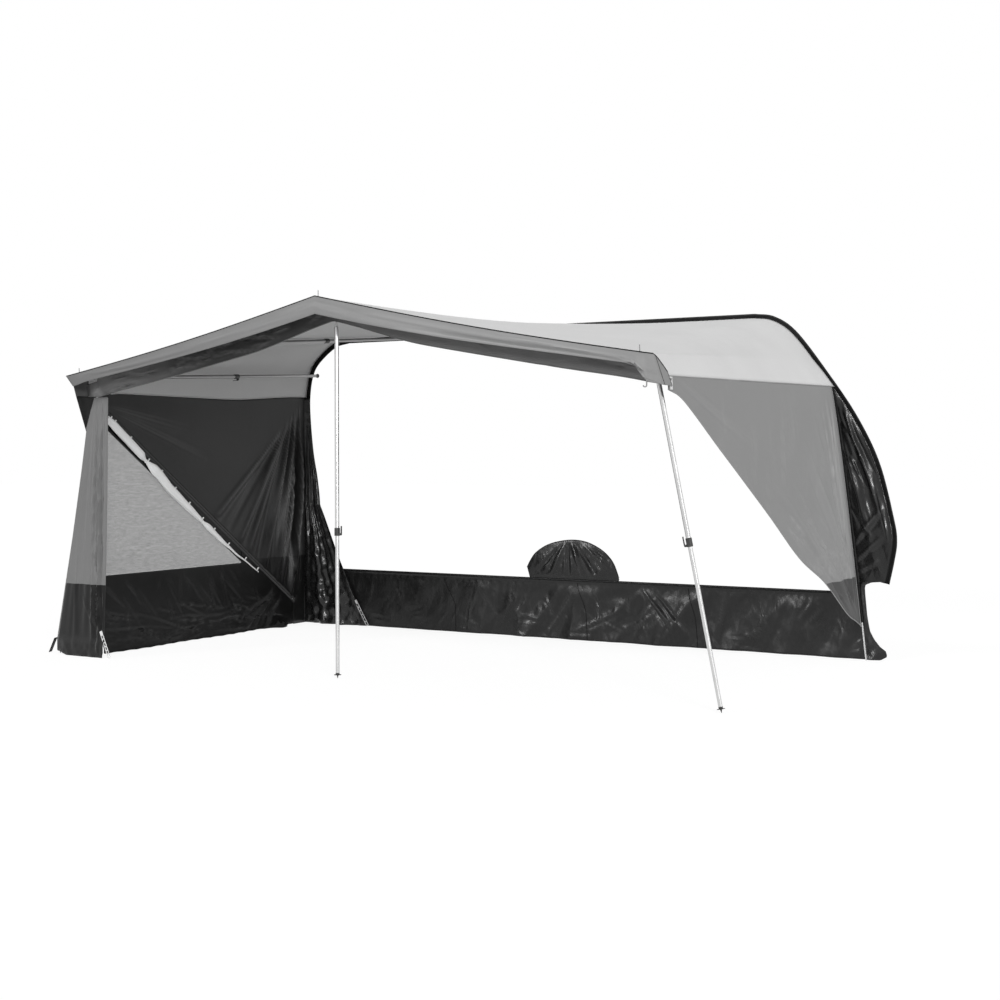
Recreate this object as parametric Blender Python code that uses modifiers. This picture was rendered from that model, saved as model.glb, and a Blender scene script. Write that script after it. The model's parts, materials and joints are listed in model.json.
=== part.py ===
# Caravan awning: an open-fronted sun canopy with side walls, on a telescopic tube frame.
#
# Metres, +Z up. X runs along the caravan, the caravan wall lies towards +Y, and the open front faces -Y.
# While it is modelled, X is zero midway between the front corners and Y is zero at the caravan wall.
# At the end everything moves so that the origin is the middle of the footprint, on the ground.

import math

import bmesh
import bpy
from mathutils import Matrix, Vector

# Roof and rail
DEPTH = 2.783
LEG_BACK = 0.228
LEG_LINE = DEPTH - LEG_BACK
LEG_FOOT_HALF = 2.545
FRONT_HALF = 2.222
PEAK_OFFSET = -0.07
PEAK_HEIGHT = 2.42
TIP_HEIGHT = 1.98
RAIL_TOP = 2.425
RAIL_LEFT = 2.254
RAIL_RIGHT = 2.806
ROOF_SAG = 0.010
FRONT_SAG = 0.022
FOLD_RIGHT_REAR = 2.235
ROOF_DEPTH_SHARES = (0.0, 0.04, 0.12, 0.25, 0.40, 0.55, 0.70, 0.84)

# The rail's outline on the caravan wall, from the flat top down each side
RAIL_LEFT_SHARES = (
    (0.800, 1.000), (0.870, 0.985), (0.950, 0.930), (0.985, 0.878), (1.000, 0.800),
    (0.998, 0.715), (0.985, 0.600), (0.965, 0.500), (0.955, 0.400), (0.960, 0.225),
)
RAIL_RIGHT_SHARES = (
    (0.640, 1.000), (0.690, 0.990), (0.745, 0.945), (0.825, 0.825), (0.900, 0.697),
    (0.956, 0.565), (0.992, 0.408), (1.000, 0.345), (0.994, 0.290), (0.982, 0.223),
)
BAND_INNER = 0.040
BAND_OUTER = 0.032
BAND_THICK = 0.006

# Cloth
CLOTH = 0.002
SEAM = 0.0008
TOUCH = 0.0004
SIDE_FRONT_X = 2.236
SEAM_FRONT_LEFT = 1.845
SEAM_DIP_LEFT = 1.885
SEAM_REAR_LEFT = 1.940
SEAM_FRONT_RIGHT = 1.863
SEAM_REAR_RIGHT = 1.935
SEAM_RIGHT_X = 2.385
MUD_HEIGHT = 0.565

# Valance and inner strip
VALANCE_MIDDLE = 0.108
VALANCE_END = 0.068
VALANCE_LEFT_CUT = 0.062
CORNER_START = 2.090
CORNER_FALL = 0.100
CORNER_TOP_FALL = 0.095
CORNER_RETURN = 0.110
CORNER_GAP = 0.0022
CORNER_SHARES = ((0.35, 0.20), (0.70, 0.60), (1.0, 1.0))
STRIP_BACK = 0.183
STRIP_LINE = DEPTH - STRIP_BACK
STRIP_MIDDLE = 0.135
STRIP_SIDE = 0.172
STRIP_NOTCH_HALF = 0.030
STRIP_NOTCH = 0.062
STRIP_RIPPLE = 0.006

# Left wall
WALL_BACK = 0.343
WALL_FRONT = DEPTH - WALL_BACK
ZIP_TOP_BACK = 0.060
ZIP_TOP_DEPTH = WALL_FRONT - ZIP_TOP_BACK
ZIP_TOP_HEIGHT = 1.724
ZIP_END_DEPTH = 0.206
ZIP_END_HEIGHT = 0.206
ZIP_BORDER = 0.090
WALL_FOLD = 0.016
LEFT_FOLDS = 7

# Rolled blind along the zip
BLIND_END_DEPTH = 0.645
BLIND_HALF_WIDTH = 0.040
BLIND_HALF_DEPTH = 0.024
BLIND_DROP = 0.086
BLIND_DROP_SHARES = (
    (0.0, 0.39), (0.10, 0.47), (0.20, 0.53), (0.30, 0.72), (0.40, 0.96), (0.60, 0.98), (0.72, 1.0),
    (0.83, 0.87), (0.94, 0.62), (1.0, 0.52),
)
BLIND_WIDTH_SHARES = (
    (0.00, 0.62), (0.05, 0.83), (0.15, 0.80), (0.205, 0.75), (0.2375, 0.30), (0.29, 0.98), (0.35, 0.96),
    (0.41, 0.88), (0.51, 0.72), (0.59, 0.52), (0.61, 0.30), (0.65, 0.62), (0.72, 0.50), (0.775, 0.33),
    (0.83, 0.20), (0.94, 0.13), (1.00, 0.10),
)

# The left side's front edge, falling back from the roof's tip: shares of the tip's height and of the depth
SIDE_EDGE_SHARES = ((0.0, 0.900), (0.793, 0.926), (0.924, 0.961), (0.976, 0.977), (1.0, 1.0))

# Left wing round the corner leg
WING_WALL_TOP = 1.722
WING_MEET = 1.570
WING_MEET_BACK = 0.207
WING_MEET_DEPTH = DEPTH - WING_MEET_BACK
WING_MEET_OUT = 2.2325
WING_TOP = 1.835
WING_TOP_OUT = 2.136
WING_INNER_TOP = 2.010
WING_INNER_FOOT = 2.068
WING_FRONT_BACK = 0.177
WING_FRONT = DEPTH - WING_FRONT_BACK
WING_REAR_BACK = 0.261
WING_BACK = DEPTH - WING_REAR_BACK
WING_PAST_LEG = 0.005
WING_FOOT_OUT = LEG_FOOT_HALF + WING_PAST_LEG
WING_FOOT_TURN = 0.045
WING_FOOT_CORNER = WING_FOOT_OUT - WING_FOOT_TURN
WING_CUT = 0.120
WING_FOLD = 0.006

# Rear panels at the caravan wall
REAR_PANEL_DEPTH = 0.040
REAR_PANEL_TOP = 1.925
REAR_PANEL_FREE = 1.020
REAR_PANEL_FOOT = 1.610
REAR_FOLD = 0.012
RIGHT_WALL_REAR = 0.030
RIGHT_REAR_FOOT_X = 2.640
RIGHT_REAR_LOW = 0.552
RIGHT_TUCK = 0.012
RIGHT_PANEL_DEPTH = 0.016
RIGHT_FOLD = 0.008
RIGHT_WALL_FRONT_X = 2.262
RIGHT_LEVEL_SHARES = (0.0, 0.15, 0.32, 0.5, 0.68, 0.85, 1.0)
RIGHT_WALL_EDGE_SHARES = (
    (0.00, 0.925), (0.058, 0.911), (0.128, 0.871), (0.233, 0.793), (0.343, 0.702), (0.485, 0.554),
    (0.633, 0.394), (0.770, 0.301), (0.893, 0.183), (0.955, 0.146), (1.00, 0.120),
)
FLAP_WIDTH = 0.150
FLAP_SHARES = (
    (0.985, 0.62), (0.955, 0.34), (0.90, 0.28), (0.55, 0.26), (0.37, 0.31), (0.265, 0.47), (0.17, 0.72),
    (0.12, 0.96), (0.055, 1.00), (0.0, 0.62),
)

# Draught skirt and wheel-arch cover
SKIRT_LEFT = 1.800
SKIRT_HEIGHT = 0.475
SKIRT_DEPTH = 0.016
SKIRT_BEAD = 0.005
SKIRT_CRINKLE = 0.004
ARCH_LEFT = -0.078
ARCH_WIDTH = 0.802
ARCH_TOP = 0.778
ARCH_OVERLAP = 0.030
ARCH_OUTLINE_SHARES = (
    (0.00, 0.325), (0.04, 0.50), (0.10, 0.68), (0.22, 0.86), (0.37, 0.965), (0.52, 1.00),
    (0.66, 0.955), (0.79, 0.82), (0.88, 0.66), (0.945, 0.46), (1.00, 0.13),
)
ARCH_BULGE = 0.006

# Frame tubes
OUTER_R = 0.0140
INNER_R = 0.0125
TUBE_WALL = 0.0012
TUBE_GAP = 0.0003
TUBE_STEPS = 12
TUBE_OVERLAP = 0.320
RAFTER_DROP = 0.0245
EDGE_RAFTER_X = 2.132
EDGE_REAR_DROP = 0.120
RAFTER_TIP_BACK = 0.018
MID_RAFTER_X = 1.130
CLAMP_DEPTH_EDGE = 1.070
CLAMP_DEPTH_MID = 1.230
PAD_R = 0.018
PAD_LENGTH = 0.032
PAD_NECK = 0.024
PIN_R = 0.003
PIN_RISE = 0.042
PIN_BACK = 0.016
EYELET_GAP = 0.0005
BAR_R = 0.0110
BAR_BACK = 0.045
BAR_LINE = LEG_LINE - BAR_BACK
BAR_DROP = 0.0252
BAR_CLIP_HALF = 0.0070
BAR_STAGGER = 0.0170
BAR_END_INSET = 0.003
HOOK_HALF = 0.0040
HOOK_GAP = 0.0014
HOOK_WALL = 0.0030
HOOK_REACH = 0.020
HOOK_REAR_DEG = -60.0
HOOK_TURN_DEG = 210.0
CLIP_WALL = 0.0030
CLIP_GAP = 0.0005
CLIP_HALF = 0.0090
CLIP_OPEN_DEG = 62.0

# Legs
LEG_CLAMP_HEIGHT = 0.940
LEG_NECK_R = 0.0050
LEG_NECK = 0.128
LEG_PLUG = 0.012
FOOT_FLANGE_R = 0.024
FOOT_SPIKE = 0.021
FOOT_SPIKE_R = 0.0065
FOOT_FLANGE = 0.004
FOOT_PLUG = 0.030
FOOT_COLLAR = 0.010

# Cam clamps
CLAMP_R = 0.0180
CLAMP_HALF = 0.025
CLAMP_STEP = 0.005
CLAMP_CHAMFER = 0.0015
CAM_X = 0.0245
CAM_Z = 0.0160
CAM_R = 0.0062
CAM_HALF = 0.0050
CAM_PIN_R = 0.0020
EAR_THICK = 0.0035
EAR_R = 0.0070
LEVER_RISE = 0.054
LEVER_THICK = 0.0040
LEVER_OUT = 0.0058

# Ladder straps
LADDER_WIDTH = 0.024
LADDER_THICK = 0.003
LADDER_RAIL = 0.005
LADDER_RUNG = 0.006
LADDER_HOLES = 6
LADDER_TAB = 0.034
LADDER_LEFT_PAST = 0.022
LADDER_LEFT_X = -WING_INNER_FOOT - LADDER_LEFT_PAST
LADDER_LEFT_TOP = 0.190
LADDER_LEFT_OUT = 0.085
LADDER_MIDDLE_PAST = 0.108
LADDER_MIDDLE_X = -REAR_PANEL_FOOT - LADDER_MIDDLE_PAST
LADDER_MIDDLE_TOP = 0.214
LADDER_MIDDLE_OUT = 0.130
LADDER_RIGHT_TOP = 0.265

# Zip slider
SLIDER_LENGTH = 0.022
SLIDER_HALF_WIDTH = 0.006
SLIDER_THICK = 0.004
SLIDER_TAB = 0.030
SLIDER_TAB_THICK = 0.0022
SLIDER_TAB_HALF_WIDTH = 0.003
SLIDER_TAPER_SHARE = 0.7

# Corner buckle and toggle
BUCKLE_WIDTH = 0.038
BUCKLE_HEIGHT = 0.072
BUCKLE_THICK = 0.004
BUCKLE_RIM = 0.005
BUCKLE_SLOT = 0.012
BUCKLE_SLOT_SHARES = (0.14, 0.62)
BUCKLE_BACK = 0.028
BUCKLE_DEPTH = DEPTH - CORNER_RETURN - BUCKLE_BACK
BUCKLE_TOP = 1.862
TOGGLE_R = 0.010
TOGGLE_HALF = 0.003
TOGGLE_SHANK = 0.030
TOGGLE_X = 2.180


def clear_scene():
    for obj in list(bpy.data.objects):
        bpy.data.objects.remove(obj, do_unlink=True)


def new_collection(name):
    made = bpy.data.collections.new(name)
    bpy.context.scene.collection.children.link(made)
    return made


def new_material(name, grey, roughness, metallic=0.0, alpha=1.0):
    mat = bpy.data.materials.new(name)
    mat.use_nodes = True
    shader = mat.node_tree.nodes["Principled BSDF"]
    shader.inputs["Base Color"].default_value = (grey, grey, grey, 1.0)
    shader.inputs["Roughness"].default_value = roughness
    shader.inputs["Metallic"].default_value = metallic
    shader.inputs["Alpha"].default_value = alpha
    mat.diffuse_color = (grey, grey, grey, alpha)
    return mat


clear_scene()
PARTS = new_collection("caravan_awning")
CUTTERS = new_collection("cutters")
ORIGIN = bpy.data.objects.new("awning_origin", None)
PARTS.objects.link(ORIGIN)

ROOF_CLOTH = new_material("roof_cloth", 0.62, 0.85)
GREY_CLOTH = new_material("grey_cloth", 0.22, 0.85)
DARK_CLOTH = new_material("dark_cloth", 0.045, 0.80)
MUD_PVC = new_material("mud_pvc", 0.012, 0.45)
GLOSS_PVC = new_material("gloss_pvc", 0.010, 0.25)
WINDOW_FOIL = new_material("window_foil", 0.60, 0.15, alpha=0.35)
BLIND_CLOTH = new_material("blind_cloth", 0.80, 0.80)
ALUMINIUM = new_material("aluminium", 0.75, 0.30, 1.0)
CLAMP_PLASTIC = new_material("clamp_plastic", 0.035, 0.45)
WHITE_PLASTIC = new_material("white_plastic", 0.75, 0.40)
STEEL = new_material("steel", 0.45, 0.35, 1.0)


def add_part(name, mesh, mat, parent=None):
    obj = bpy.data.objects.new(name, mesh)
    PARTS.objects.link(obj)
    obj.parent = parent or ORIGIN
    mesh.materials.clear()
    mesh.materials.append(mat)
    return obj


def add_empty(name, location, parent=None):
    obj = bpy.data.objects.new(name, None)
    PARTS.objects.link(obj)
    obj.parent = parent or ORIGIN
    obj.location = location
    return obj


def smooth(mesh, degrees=40.0):
    mesh.shade_smooth()
    mesh.set_sharp_from_angle(angle=math.radians(degrees))


def lerp(a, b, t):
    return a + (b - a) * t


def ramp(value, low, high):
    """0 below low, 1 above high, and an even ease between them."""
    t = min(max((value - low) / (high - low), 0.0), 1.0)
    return t * t * (3.0 - 2.0 * t)


def spline(points, count):
    """Evenly stepped points of a Catmull-Rom curve through the given ones."""
    pts = [Vector(p) for p in points]
    pts = [2 * pts[0] - pts[1]] + pts + [2 * pts[-1] - pts[-2]]
    spans = len(pts) - 3
    made = []
    for i in range(count):
        place = i / (count - 1) * spans
        k = min(int(place), spans - 1)
        t = place - k
        a, b, c, d = pts[k:k + 4]
        made.append(0.5 * (2 * b + (c - a) * t + (2 * a - 5 * b + 4 * c - d) * t * t
                           + (3 * b - a - 3 * c + d) * t * t * t))
    return made


def table(pairs, at):
    """A value read from a table of (place, value) pairs, eased between them."""
    for (x0, y0), (x1, y1) in zip(pairs, pairs[1:]):
        if at <= x1:
            return lerp(y0, y1, ramp(at, x0, x1))
    return pairs[-1][1]


# The rail's outline as points (x, z), and where it stands at a height or a width
LEFT_RAIL = [(-RAIL_LEFT * p.x, RAIL_TOP * p.y) for p in spline([(a, b, 0) for a, b in RAIL_LEFT_SHARES], 46)]
RIGHT_RAIL = [(RAIL_RIGHT * p.x, RAIL_TOP * p.y) for p in spline([(a, b, 0) for a, b in RAIL_RIGHT_SHARES], 46)]


def rail_x_at(outline, height):
    """The rail's x at a height on its falling side."""
    for (x0, z0), (x1, z1) in zip(outline, outline[1:]):
        if z1 <= height <= z0 and z0 > z1:
            return lerp(x0, x1, (z0 - height) / (z0 - z1))
    return outline[-1][0]


def rail_z_at(x):
    """The rail's height over its top and shoulders."""
    outline = LEFT_RAIL if x < 0 else RIGHT_RAIL
    if abs(x) <= abs(outline[0][0]):
        return RAIL_TOP
    for (x0, z0), (x1, z1) in zip(outline, outline[1:]):
        if abs(x0) <= abs(x) <= abs(x1):
            return lerp(z0, z1, (abs(x) - abs(x0)) / (abs(x1) - abs(x0)))
    return outline[-1][1]


def front_z_at(x):
    """The roof's front edge: two straight slopes from the peak, each hanging a little between its ends."""
    end = -FRONT_HALF if x < PEAK_OFFSET else FRONT_HALF
    u = (x - end) / (PEAK_OFFSET - end)
    return lerp(TIP_HEIGHT, PEAK_HEIGHT, u) - FRONT_SAG * math.sin(math.pi * min(max(u, 0.0), 1.0))


RAFTER_LINES = (-FRONT_HALF, -MID_RAFTER_X, PEAK_OFFSET, MID_RAFTER_X, FRONT_HALF)


def sag_at(x, depth):
    """How far the roof hangs between two rafters; zero over each rafter and at the front and rear edges."""
    for low, high in zip(RAFTER_LINES, RAFTER_LINES[1:]):
        if low <= x <= high:
            across = math.sin(math.pi * (x - low) / (high - low)) ** 2
            along = 4 * (depth / DEPTH) * (1 - depth / DEPTH)
            return ROOF_SAG * across * along
    return 0.0


def roof_z(x, depth):
    """The roof cloth's middle surface at a distance in front of the caravan wall."""
    return lerp(rail_z_at(x), front_z_at(x), depth / DEPTH) - sag_at(x, depth)


# Where the roof's cloth has its cross sections, and values that run straight between them
ROOF_DEPTHS = [DEPTH * s for s in ROOF_DEPTH_SHARES] + [LEG_LINE, STRIP_LINE, lerp(STRIP_LINE, DEPTH, 0.5), DEPTH]


def sectioned(rule, depth):
    """A rule of the depth, taken only at the roof's sections and run straight between them."""
    for near, far in zip(ROOF_DEPTHS, ROOF_DEPTHS[1:]):
        if depth <= far:
            return lerp(rule(near), rule(far), (depth - near) / (far - near))
    return rule(depth)


def cloth(name, rows, mat, thickness=CLOTH, offset=0.0, parent=None):
    """A sheet through rows of points, given its thickness on both sides by Solidify."""
    width = len(rows[0])
    verts = [tuple(p) for row in rows for p in row]
    faces = []
    for i in range(len(rows) - 1):
        for j in range(width - 1):
            a = i * width + j
            faces.append((a, a + 1, a + width + 1, a + width))
    mesh = bpy.data.meshes.new(name)
    mesh.from_pydata(verts, [], faces)
    mesh.update()
    obj = add_part(name, mesh, mat, parent)
    solid = obj.modifiers.new("thickness", "SOLIDIFY")
    solid.thickness = thickness
    solid.offset = offset
    smooth(mesh)
    return obj


def turned(name, profile, steps=TUBE_STEPS):
    """A turned solid about local Z. The profile runs down the outer side first, as (radius, z)."""
    mesh = bpy.data.meshes.new(name)
    verts = [(r, 0.0, z) for r, z in profile]
    closed = profile[0][0] > 0
    edges = [(i, i + 1) for i in range(len(verts) - 1)]
    if closed:
        edges.append((len(verts) - 1, 0))
    mesh.from_pydata(verts, edges, [])
    obj = bpy.data.objects.new(name, mesh)
    CUTTERS.objects.link(obj)
    screw = obj.modifiers.new("turn", "SCREW")
    screw.steps = steps
    screw.render_steps = steps
    screw.use_merge_vertices = True
    screw.merge_threshold = 0.00001
    return baked(obj)


def baked(obj):
    """The object's evaluated shape as a plain mesh with its placing applied; the object is removed."""
    bpy.context.view_layer.update()
    graph = bpy.context.evaluated_depsgraph_get()
    mesh = bpy.data.meshes.new_from_object(obj.evaluated_get(graph))
    mesh.transform(obj.matrix_world)
    work = bmesh.new()
    work.from_mesh(mesh)
    bmesh.ops.remove_doubles(work, verts=work.verts, dist=0.000002)
    bmesh.ops.recalc_face_normals(work, faces=work.faces)
    work.to_mesh(mesh)
    work.free()
    name = obj.name
    bpy.data.objects.remove(obj, do_unlink=True)
    mesh.name = name
    return mesh


def plate(name, outline, half, holes=()):
    """A flat outline (x, z) with holes, thickened by half to each side of the local XZ plane."""
    curve = bpy.data.curves.new(name, "CURVE")
    curve.dimensions = "2D"
    curve.fill_mode = "BOTH"
    curve.extrude = half
    for ring in (outline, *holes):
        line = curve.splines.new("POLY")
        line.points.add(len(ring) - 1)
        line.use_cyclic_u = True
        for point, (x, z) in zip(line.points, ring):
            point.co = (x, z, 0.0, 1.0)
    obj = bpy.data.objects.new(name, curve)
    CUTTERS.objects.link(obj)
    obj.rotation_euler = (math.pi / 2, 0.0, 0.0)
    return baked(obj)


def rod(name, start, end, radius, steps=TUBE_STEPS):
    """A solid round rod between two points."""
    work = bmesh.new()
    span = Vector(end) - Vector(start)
    bmesh.ops.create_cone(work, cap_ends=True, segments=steps, radius1=radius, radius2=radius, depth=span.length)
    turn = Vector((0, 0, 1)).rotation_difference(span).to_matrix().to_4x4()
    work.transform(Matrix.Translation((Vector(start) + Vector(end)) / 2) @ turn)
    mesh = bpy.data.meshes.new(name)
    work.to_mesh(mesh)
    work.free()
    return mesh


def circle(cx, cz, radius, count, start=0.0, turn=360.0):
    """Points of a circle or arc; a full circle leaves out the repeated last point."""
    last = count if turn == 360.0 else count - 1
    angles = [math.radians(start + turn * i / last) for i in range(count)]
    return [(cx + radius * math.cos(a), cz + radius * math.sin(a)) for a in angles]


def combined(name, meshes, operation="UNION"):
    """One mesh from several, by Boolean; the first is the body."""
    body = bpy.data.objects.new(name, meshes[0])
    CUTTERS.objects.link(body)
    helpers = []
    for mesh in meshes[1:]:
        helper = bpy.data.objects.new(name + "_tool", mesh)
        CUTTERS.objects.link(helper)
        helper.hide_render = True
        helper.display_type = "WIRE"
        step = body.modifiers.new(operation.lower(), "BOOLEAN")
        step.operation = operation
        step.solver = "EXACT"
        step.object = helper
        helpers.append(helper)
    made = baked(body)
    for helper in helpers:
        bpy.data.objects.remove(helper, do_unlink=True)
    return made


def tube_mesh(name, radius, low, high):
    """A hollow tube about local Z."""
    bore = radius - TUBE_WALL
    return turned(name, [(radius, high), (radius, low), (bore, low), (bore, high)])


def collar_mesh():
    """A stepped collar that fits over the outer tube's end and round the inner tube."""
    wide = OUTER_R + TUBE_GAP
    slim = INNER_R + TUBE_GAP
    edge = CLAMP_CHAMFER
    return turned("collar", [
        (CLAMP_R - edge, CLAMP_HALF), (CLAMP_R, CLAMP_HALF - edge), (CLAMP_R, edge - CLAMP_HALF),
        (CLAMP_R - edge, -CLAMP_HALF), (slim, -CLAMP_HALF), (slim, -CLAMP_STEP), (wide, -CLAMP_STEP),
        (wide, CLAMP_HALF),
    ])


def clamp_mesh():
    """The collar with two ears and a cam pin on its +X side."""
    root = OUTER_R + (CLAMP_R - OUTER_R) / 2
    outline = [(root, EAR_R - CAM_Z), (root, -EAR_R - CAM_Z)] + circle(CAM_X, -CAM_Z, EAR_R, 9, -90.0, 180.0)
    ears = []
    for side in (-1, 1):
        ear = plate("ear", outline, EAR_THICK / 2)
        ear.transform(Matrix.Translation((0, side * (CAM_HALF + TUBE_GAP + EAR_THICK / 2), 0)))
        ears.append(ear)
    reach = CAM_HALF + TUBE_GAP + EAR_THICK / 2
    pin = rod("pin", (CAM_X, -reach, -CAM_Z), (CAM_X, reach, -CAM_Z), CAM_PIN_R, 10)
    return combined("clamp", [collar_mesh(), *ears, pin])


def lever_mesh():
    """The cam and its upright arm, with the hole for the cam pin; its origin is the cam pin's axis."""
    out = LEVER_OUT
    arm = [(out + LEVER_THICK, CAM_R), (out + LEVER_THICK, LEVER_RISE)]
    arm += [(out, LEVER_RISE), (out - LEVER_THICK / 4, CAM_R)]
    outline = circle(0.0, 0.0, CAM_R, 11, 70.0, 270.0) + arm
    hole = circle(0.0, 0.0, CAM_PIN_R + TUBE_GAP, 10)
    return plate("lever", outline, CAM_HALF, [hole])


def clip_mesh(half, open_at):
    """An open ring that snaps round a rafter along local Y; open_at is the gap's direction in degrees."""
    inner = OUTER_R + CLIP_GAP
    outer = inner + CLIP_WALL
    start = open_at + CLIP_OPEN_DEG / 2
    turn = 360.0 - CLIP_OPEN_DEG
    outline = circle(0.0, 0.0, outer, 18, start, turn) + circle(0.0, 0.0, inner, 18, start + turn, -turn)
    return plate("clip", outline, half)


COLLAR_MESH = collar_mesh()
CLAMP_MESH = clamp_mesh()
LEVER_MESH = lever_mesh()
JOINT_NOTES = []


def note_joint(name, empty, axis):
    """Keeps a joint's empty and local axis, to print where the joint lies."""
    JOINT_NOTES.append((name, empty, Vector(axis)))


def add_clamp(prefix, parent, place, spin, has_lever):
    """A collar, with or without a cam lever, on a tube along the parent's local Z; spin turns it round the tube."""
    holder = add_empty(prefix + "_clamp_place", (0, 0, place), parent)
    holder.rotation_euler = (0, 0, spin)
    mesh = CLAMP_MESH if has_lever else COLLAR_MESH
    collar = add_part(prefix + ("_clamp" if has_lever else "_collar"), mesh.copy(), CLAMP_PLASTIC, holder)
    smooth(collar.data)
    if not has_lever:
        return
    lever = add_part(prefix + "_clamp_lever", LEVER_MESH.copy(), CLAMP_PLASTIC, holder)
    lever.location = (CAM_X, 0, -CAM_Z)
    note_joint(prefix + "_clamp_lever", lever, (0, 1, 0))


def rafter_axis(x):
    """A rafter's front and rear points on its axis, under the roof. Edge rafters meet the wall lower down."""
    shoulder = EDGE_REAR_DROP if abs(x) > MID_RAFTER_X else 0.0
    front = Vector((x, -(DEPTH - RAFTER_TIP_BACK), roof_z(x, DEPTH) - RAFTER_DROP))
    rear = Vector((x, -BAND_THICK - TOUCH, roof_z(x, 0.0) - RAFTER_DROP - shoulder))
    return front, rear


def rafter_point(x, depth):
    """The point on a rafter's axis at a distance in front of the caravan wall."""
    front, rear = rafter_axis(x)
    return rear.lerp(front, (depth + rear.y) / (rear.y - front.y))


def bar_ends(side, stagger):
    """The two ends of a front bar's axis, under the rafters that carry it."""
    lower = Vector((0, 0, -BAR_DROP - CLIP_GAP))
    inner = rafter_point(PEAK_OFFSET, BAR_LINE - stagger)
    outer = rafter_point(side * EDGE_RAFTER_X, BAR_LINE)
    return inner + lower, outer + lower


def aim(empty, direction):
    """Turns an empty's local Z along a direction, keeping its local X level."""
    z = direction.normalized()
    x = Vector((0, 0, 1)).cross(z).normalized()
    y = z.cross(x)
    empty.rotation_euler = Matrix((x, y, z)).transposed().to_euler()


def bar_hook(name, x, base_point, forward, tube_end):
    """The hook at a mid rafter's front end, curled over the front bar. Local Z runs forward, local Y up."""
    inner, outer = bar_ends(math.copysign(1.0, x), BAR_STAGGER if x > 0 else 0.0)
    centre = inner.lerp(outer, (x - inner.x) / (outer.x - inner.x)) - base_point
    up = forward.cross(Vector((1, 0, 0)))
    rise = centre.dot(up)
    ahead = centre.dot(forward)
    low = BAR_R + HOOK_GAP
    high = low + HOOK_WALL
    ring = circle(rise, ahead, high, 16, HOOK_REAR_DEG, HOOK_TURN_DEG)
    ring += circle(rise, ahead, low, 16, HOOK_REAR_DEG + HOOK_TURN_DEG, -HOOK_TURN_DEG)
    root = tube_end - OUTER_R / 4
    middle = (low + high) / 2
    web = [(max(BAR_R / 2, rise + middle), root)]
    web += circle(rise, ahead, middle, 6, 0.0, HOOK_REAR_DEG * 0.85)
    web += [(TUBE_WALL - OUTER_R, root)]
    pieces = []
    for part, outline, half in (("_hook_ring", ring, HOOK_HALF), ("_hook_web", web, HOOK_HALF * 0.8)):
        piece = plate(name + part, outline, half)
        piece.transform(Matrix.Rotation(math.pi / 2, 4, "Z"))
        pieces.append(piece)
    return pieces


def add_rafter(name, x, clamp_at, on_bar):
    """A telescopic rafter from its wall pad to the front edge, or to the front bar. Local Z runs forward."""
    front, rear = rafter_axis(x)
    base = add_empty(name + "_axis", rear)
    forward = (front - rear).normalized()
    aim(base, forward)
    length = (front - rear).length
    tube_end = BAR_LINE - HOOK_REACH if on_bar else length
    pieces = [tube_mesh(name + "_tube", OUTER_R, clamp_at + CLAMP_STEP - TUBE_GAP, tube_end)]
    pieces.append(rod("plug", (0, 0, tube_end - 2 * PIN_BACK), (0, 0, tube_end), OUTER_R - TUBE_WALL / 2))
    if on_bar:
        pieces += bar_hook(name, x, rear, forward, tube_end)
    else:
        pin_at = length - PIN_BACK
        pieces.append(rod("tip_pin", (0, 0, pin_at), (0, RAFTER_DROP + PIN_RISE, pin_at), PIN_R, 10))
    outer = add_part(name + "_front_tube", combined(name + "_front_tube", pieces), ALUMINIUM, base)
    smooth(outer.data)
    add_clamp(name, base, clamp_at, -math.pi / 2, not on_bar)
    slide = add_empty(name + "_slide", (0, 0, PAD_LENGTH), base)
    note_joint(name + "_slide", slide, (0, 0, 1))
    inner_end = clamp_at + TUBE_OVERLAP - PAD_LENGTH
    inner = add_part(name + "_rear_tube", tube_mesh(name + "_rear_tube", INNER_R, 0, inner_end), ALUMINIUM, slide)
    smooth(inner.data)
    bore = INNER_R - TUBE_WALL - TUBE_GAP
    pad = turned(name + "_wall_pad", [
        (0.0, PAD_NECK), (bore, PAD_NECK), (bore, -TUBE_GAP), (INNER_R, -TUBE_GAP), (INNER_R, -PAD_LENGTH / 2),
        (PAD_R, PAD_LENGTH / 8 - PAD_LENGTH), (PAD_R, TOUCH / 2 - PAD_LENGTH), (0.0, TOUCH / 2 - PAD_LENGTH),
    ])
    for vertex in pad.vertices:
        if vertex.co.z < -PAD_LENGTH / 2:
            vertex.co.z += vertex.co.y * forward.z / -forward.y
    pad_obj = add_part(name + "_wall_pad", pad, CLAMP_PLASTIC, slide)
    smooth(pad_obj.data)


def add_front_bar(name, side, stagger):
    """A bar behind the front edge, clipped under the rafters' tubes at both its ends."""
    start, end = bar_ends(side, stagger)
    inset = (end - start).normalized() * BAR_END_INSET
    pieces = [rod(name, start + inset, end - inset, BAR_R)]
    for x, depth in ((PEAK_OFFSET, BAR_LINE - stagger), (side * EDGE_RAFTER_X, BAR_LINE)):
        front, rear = rafter_axis(x)
        clip = clip_mesh(BAR_CLIP_HALF, 90.0)
        clip.transform(Vector((0, 1, 0)).rotation_difference(rear - front).to_matrix().to_4x4())
        clip.transform(Matrix.Translation(rafter_point(x, depth)))
        pieces.append(clip)
    bar = add_part(name, combined(name, pieces), ALUMINIUM)
    smooth(bar.data)


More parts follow.
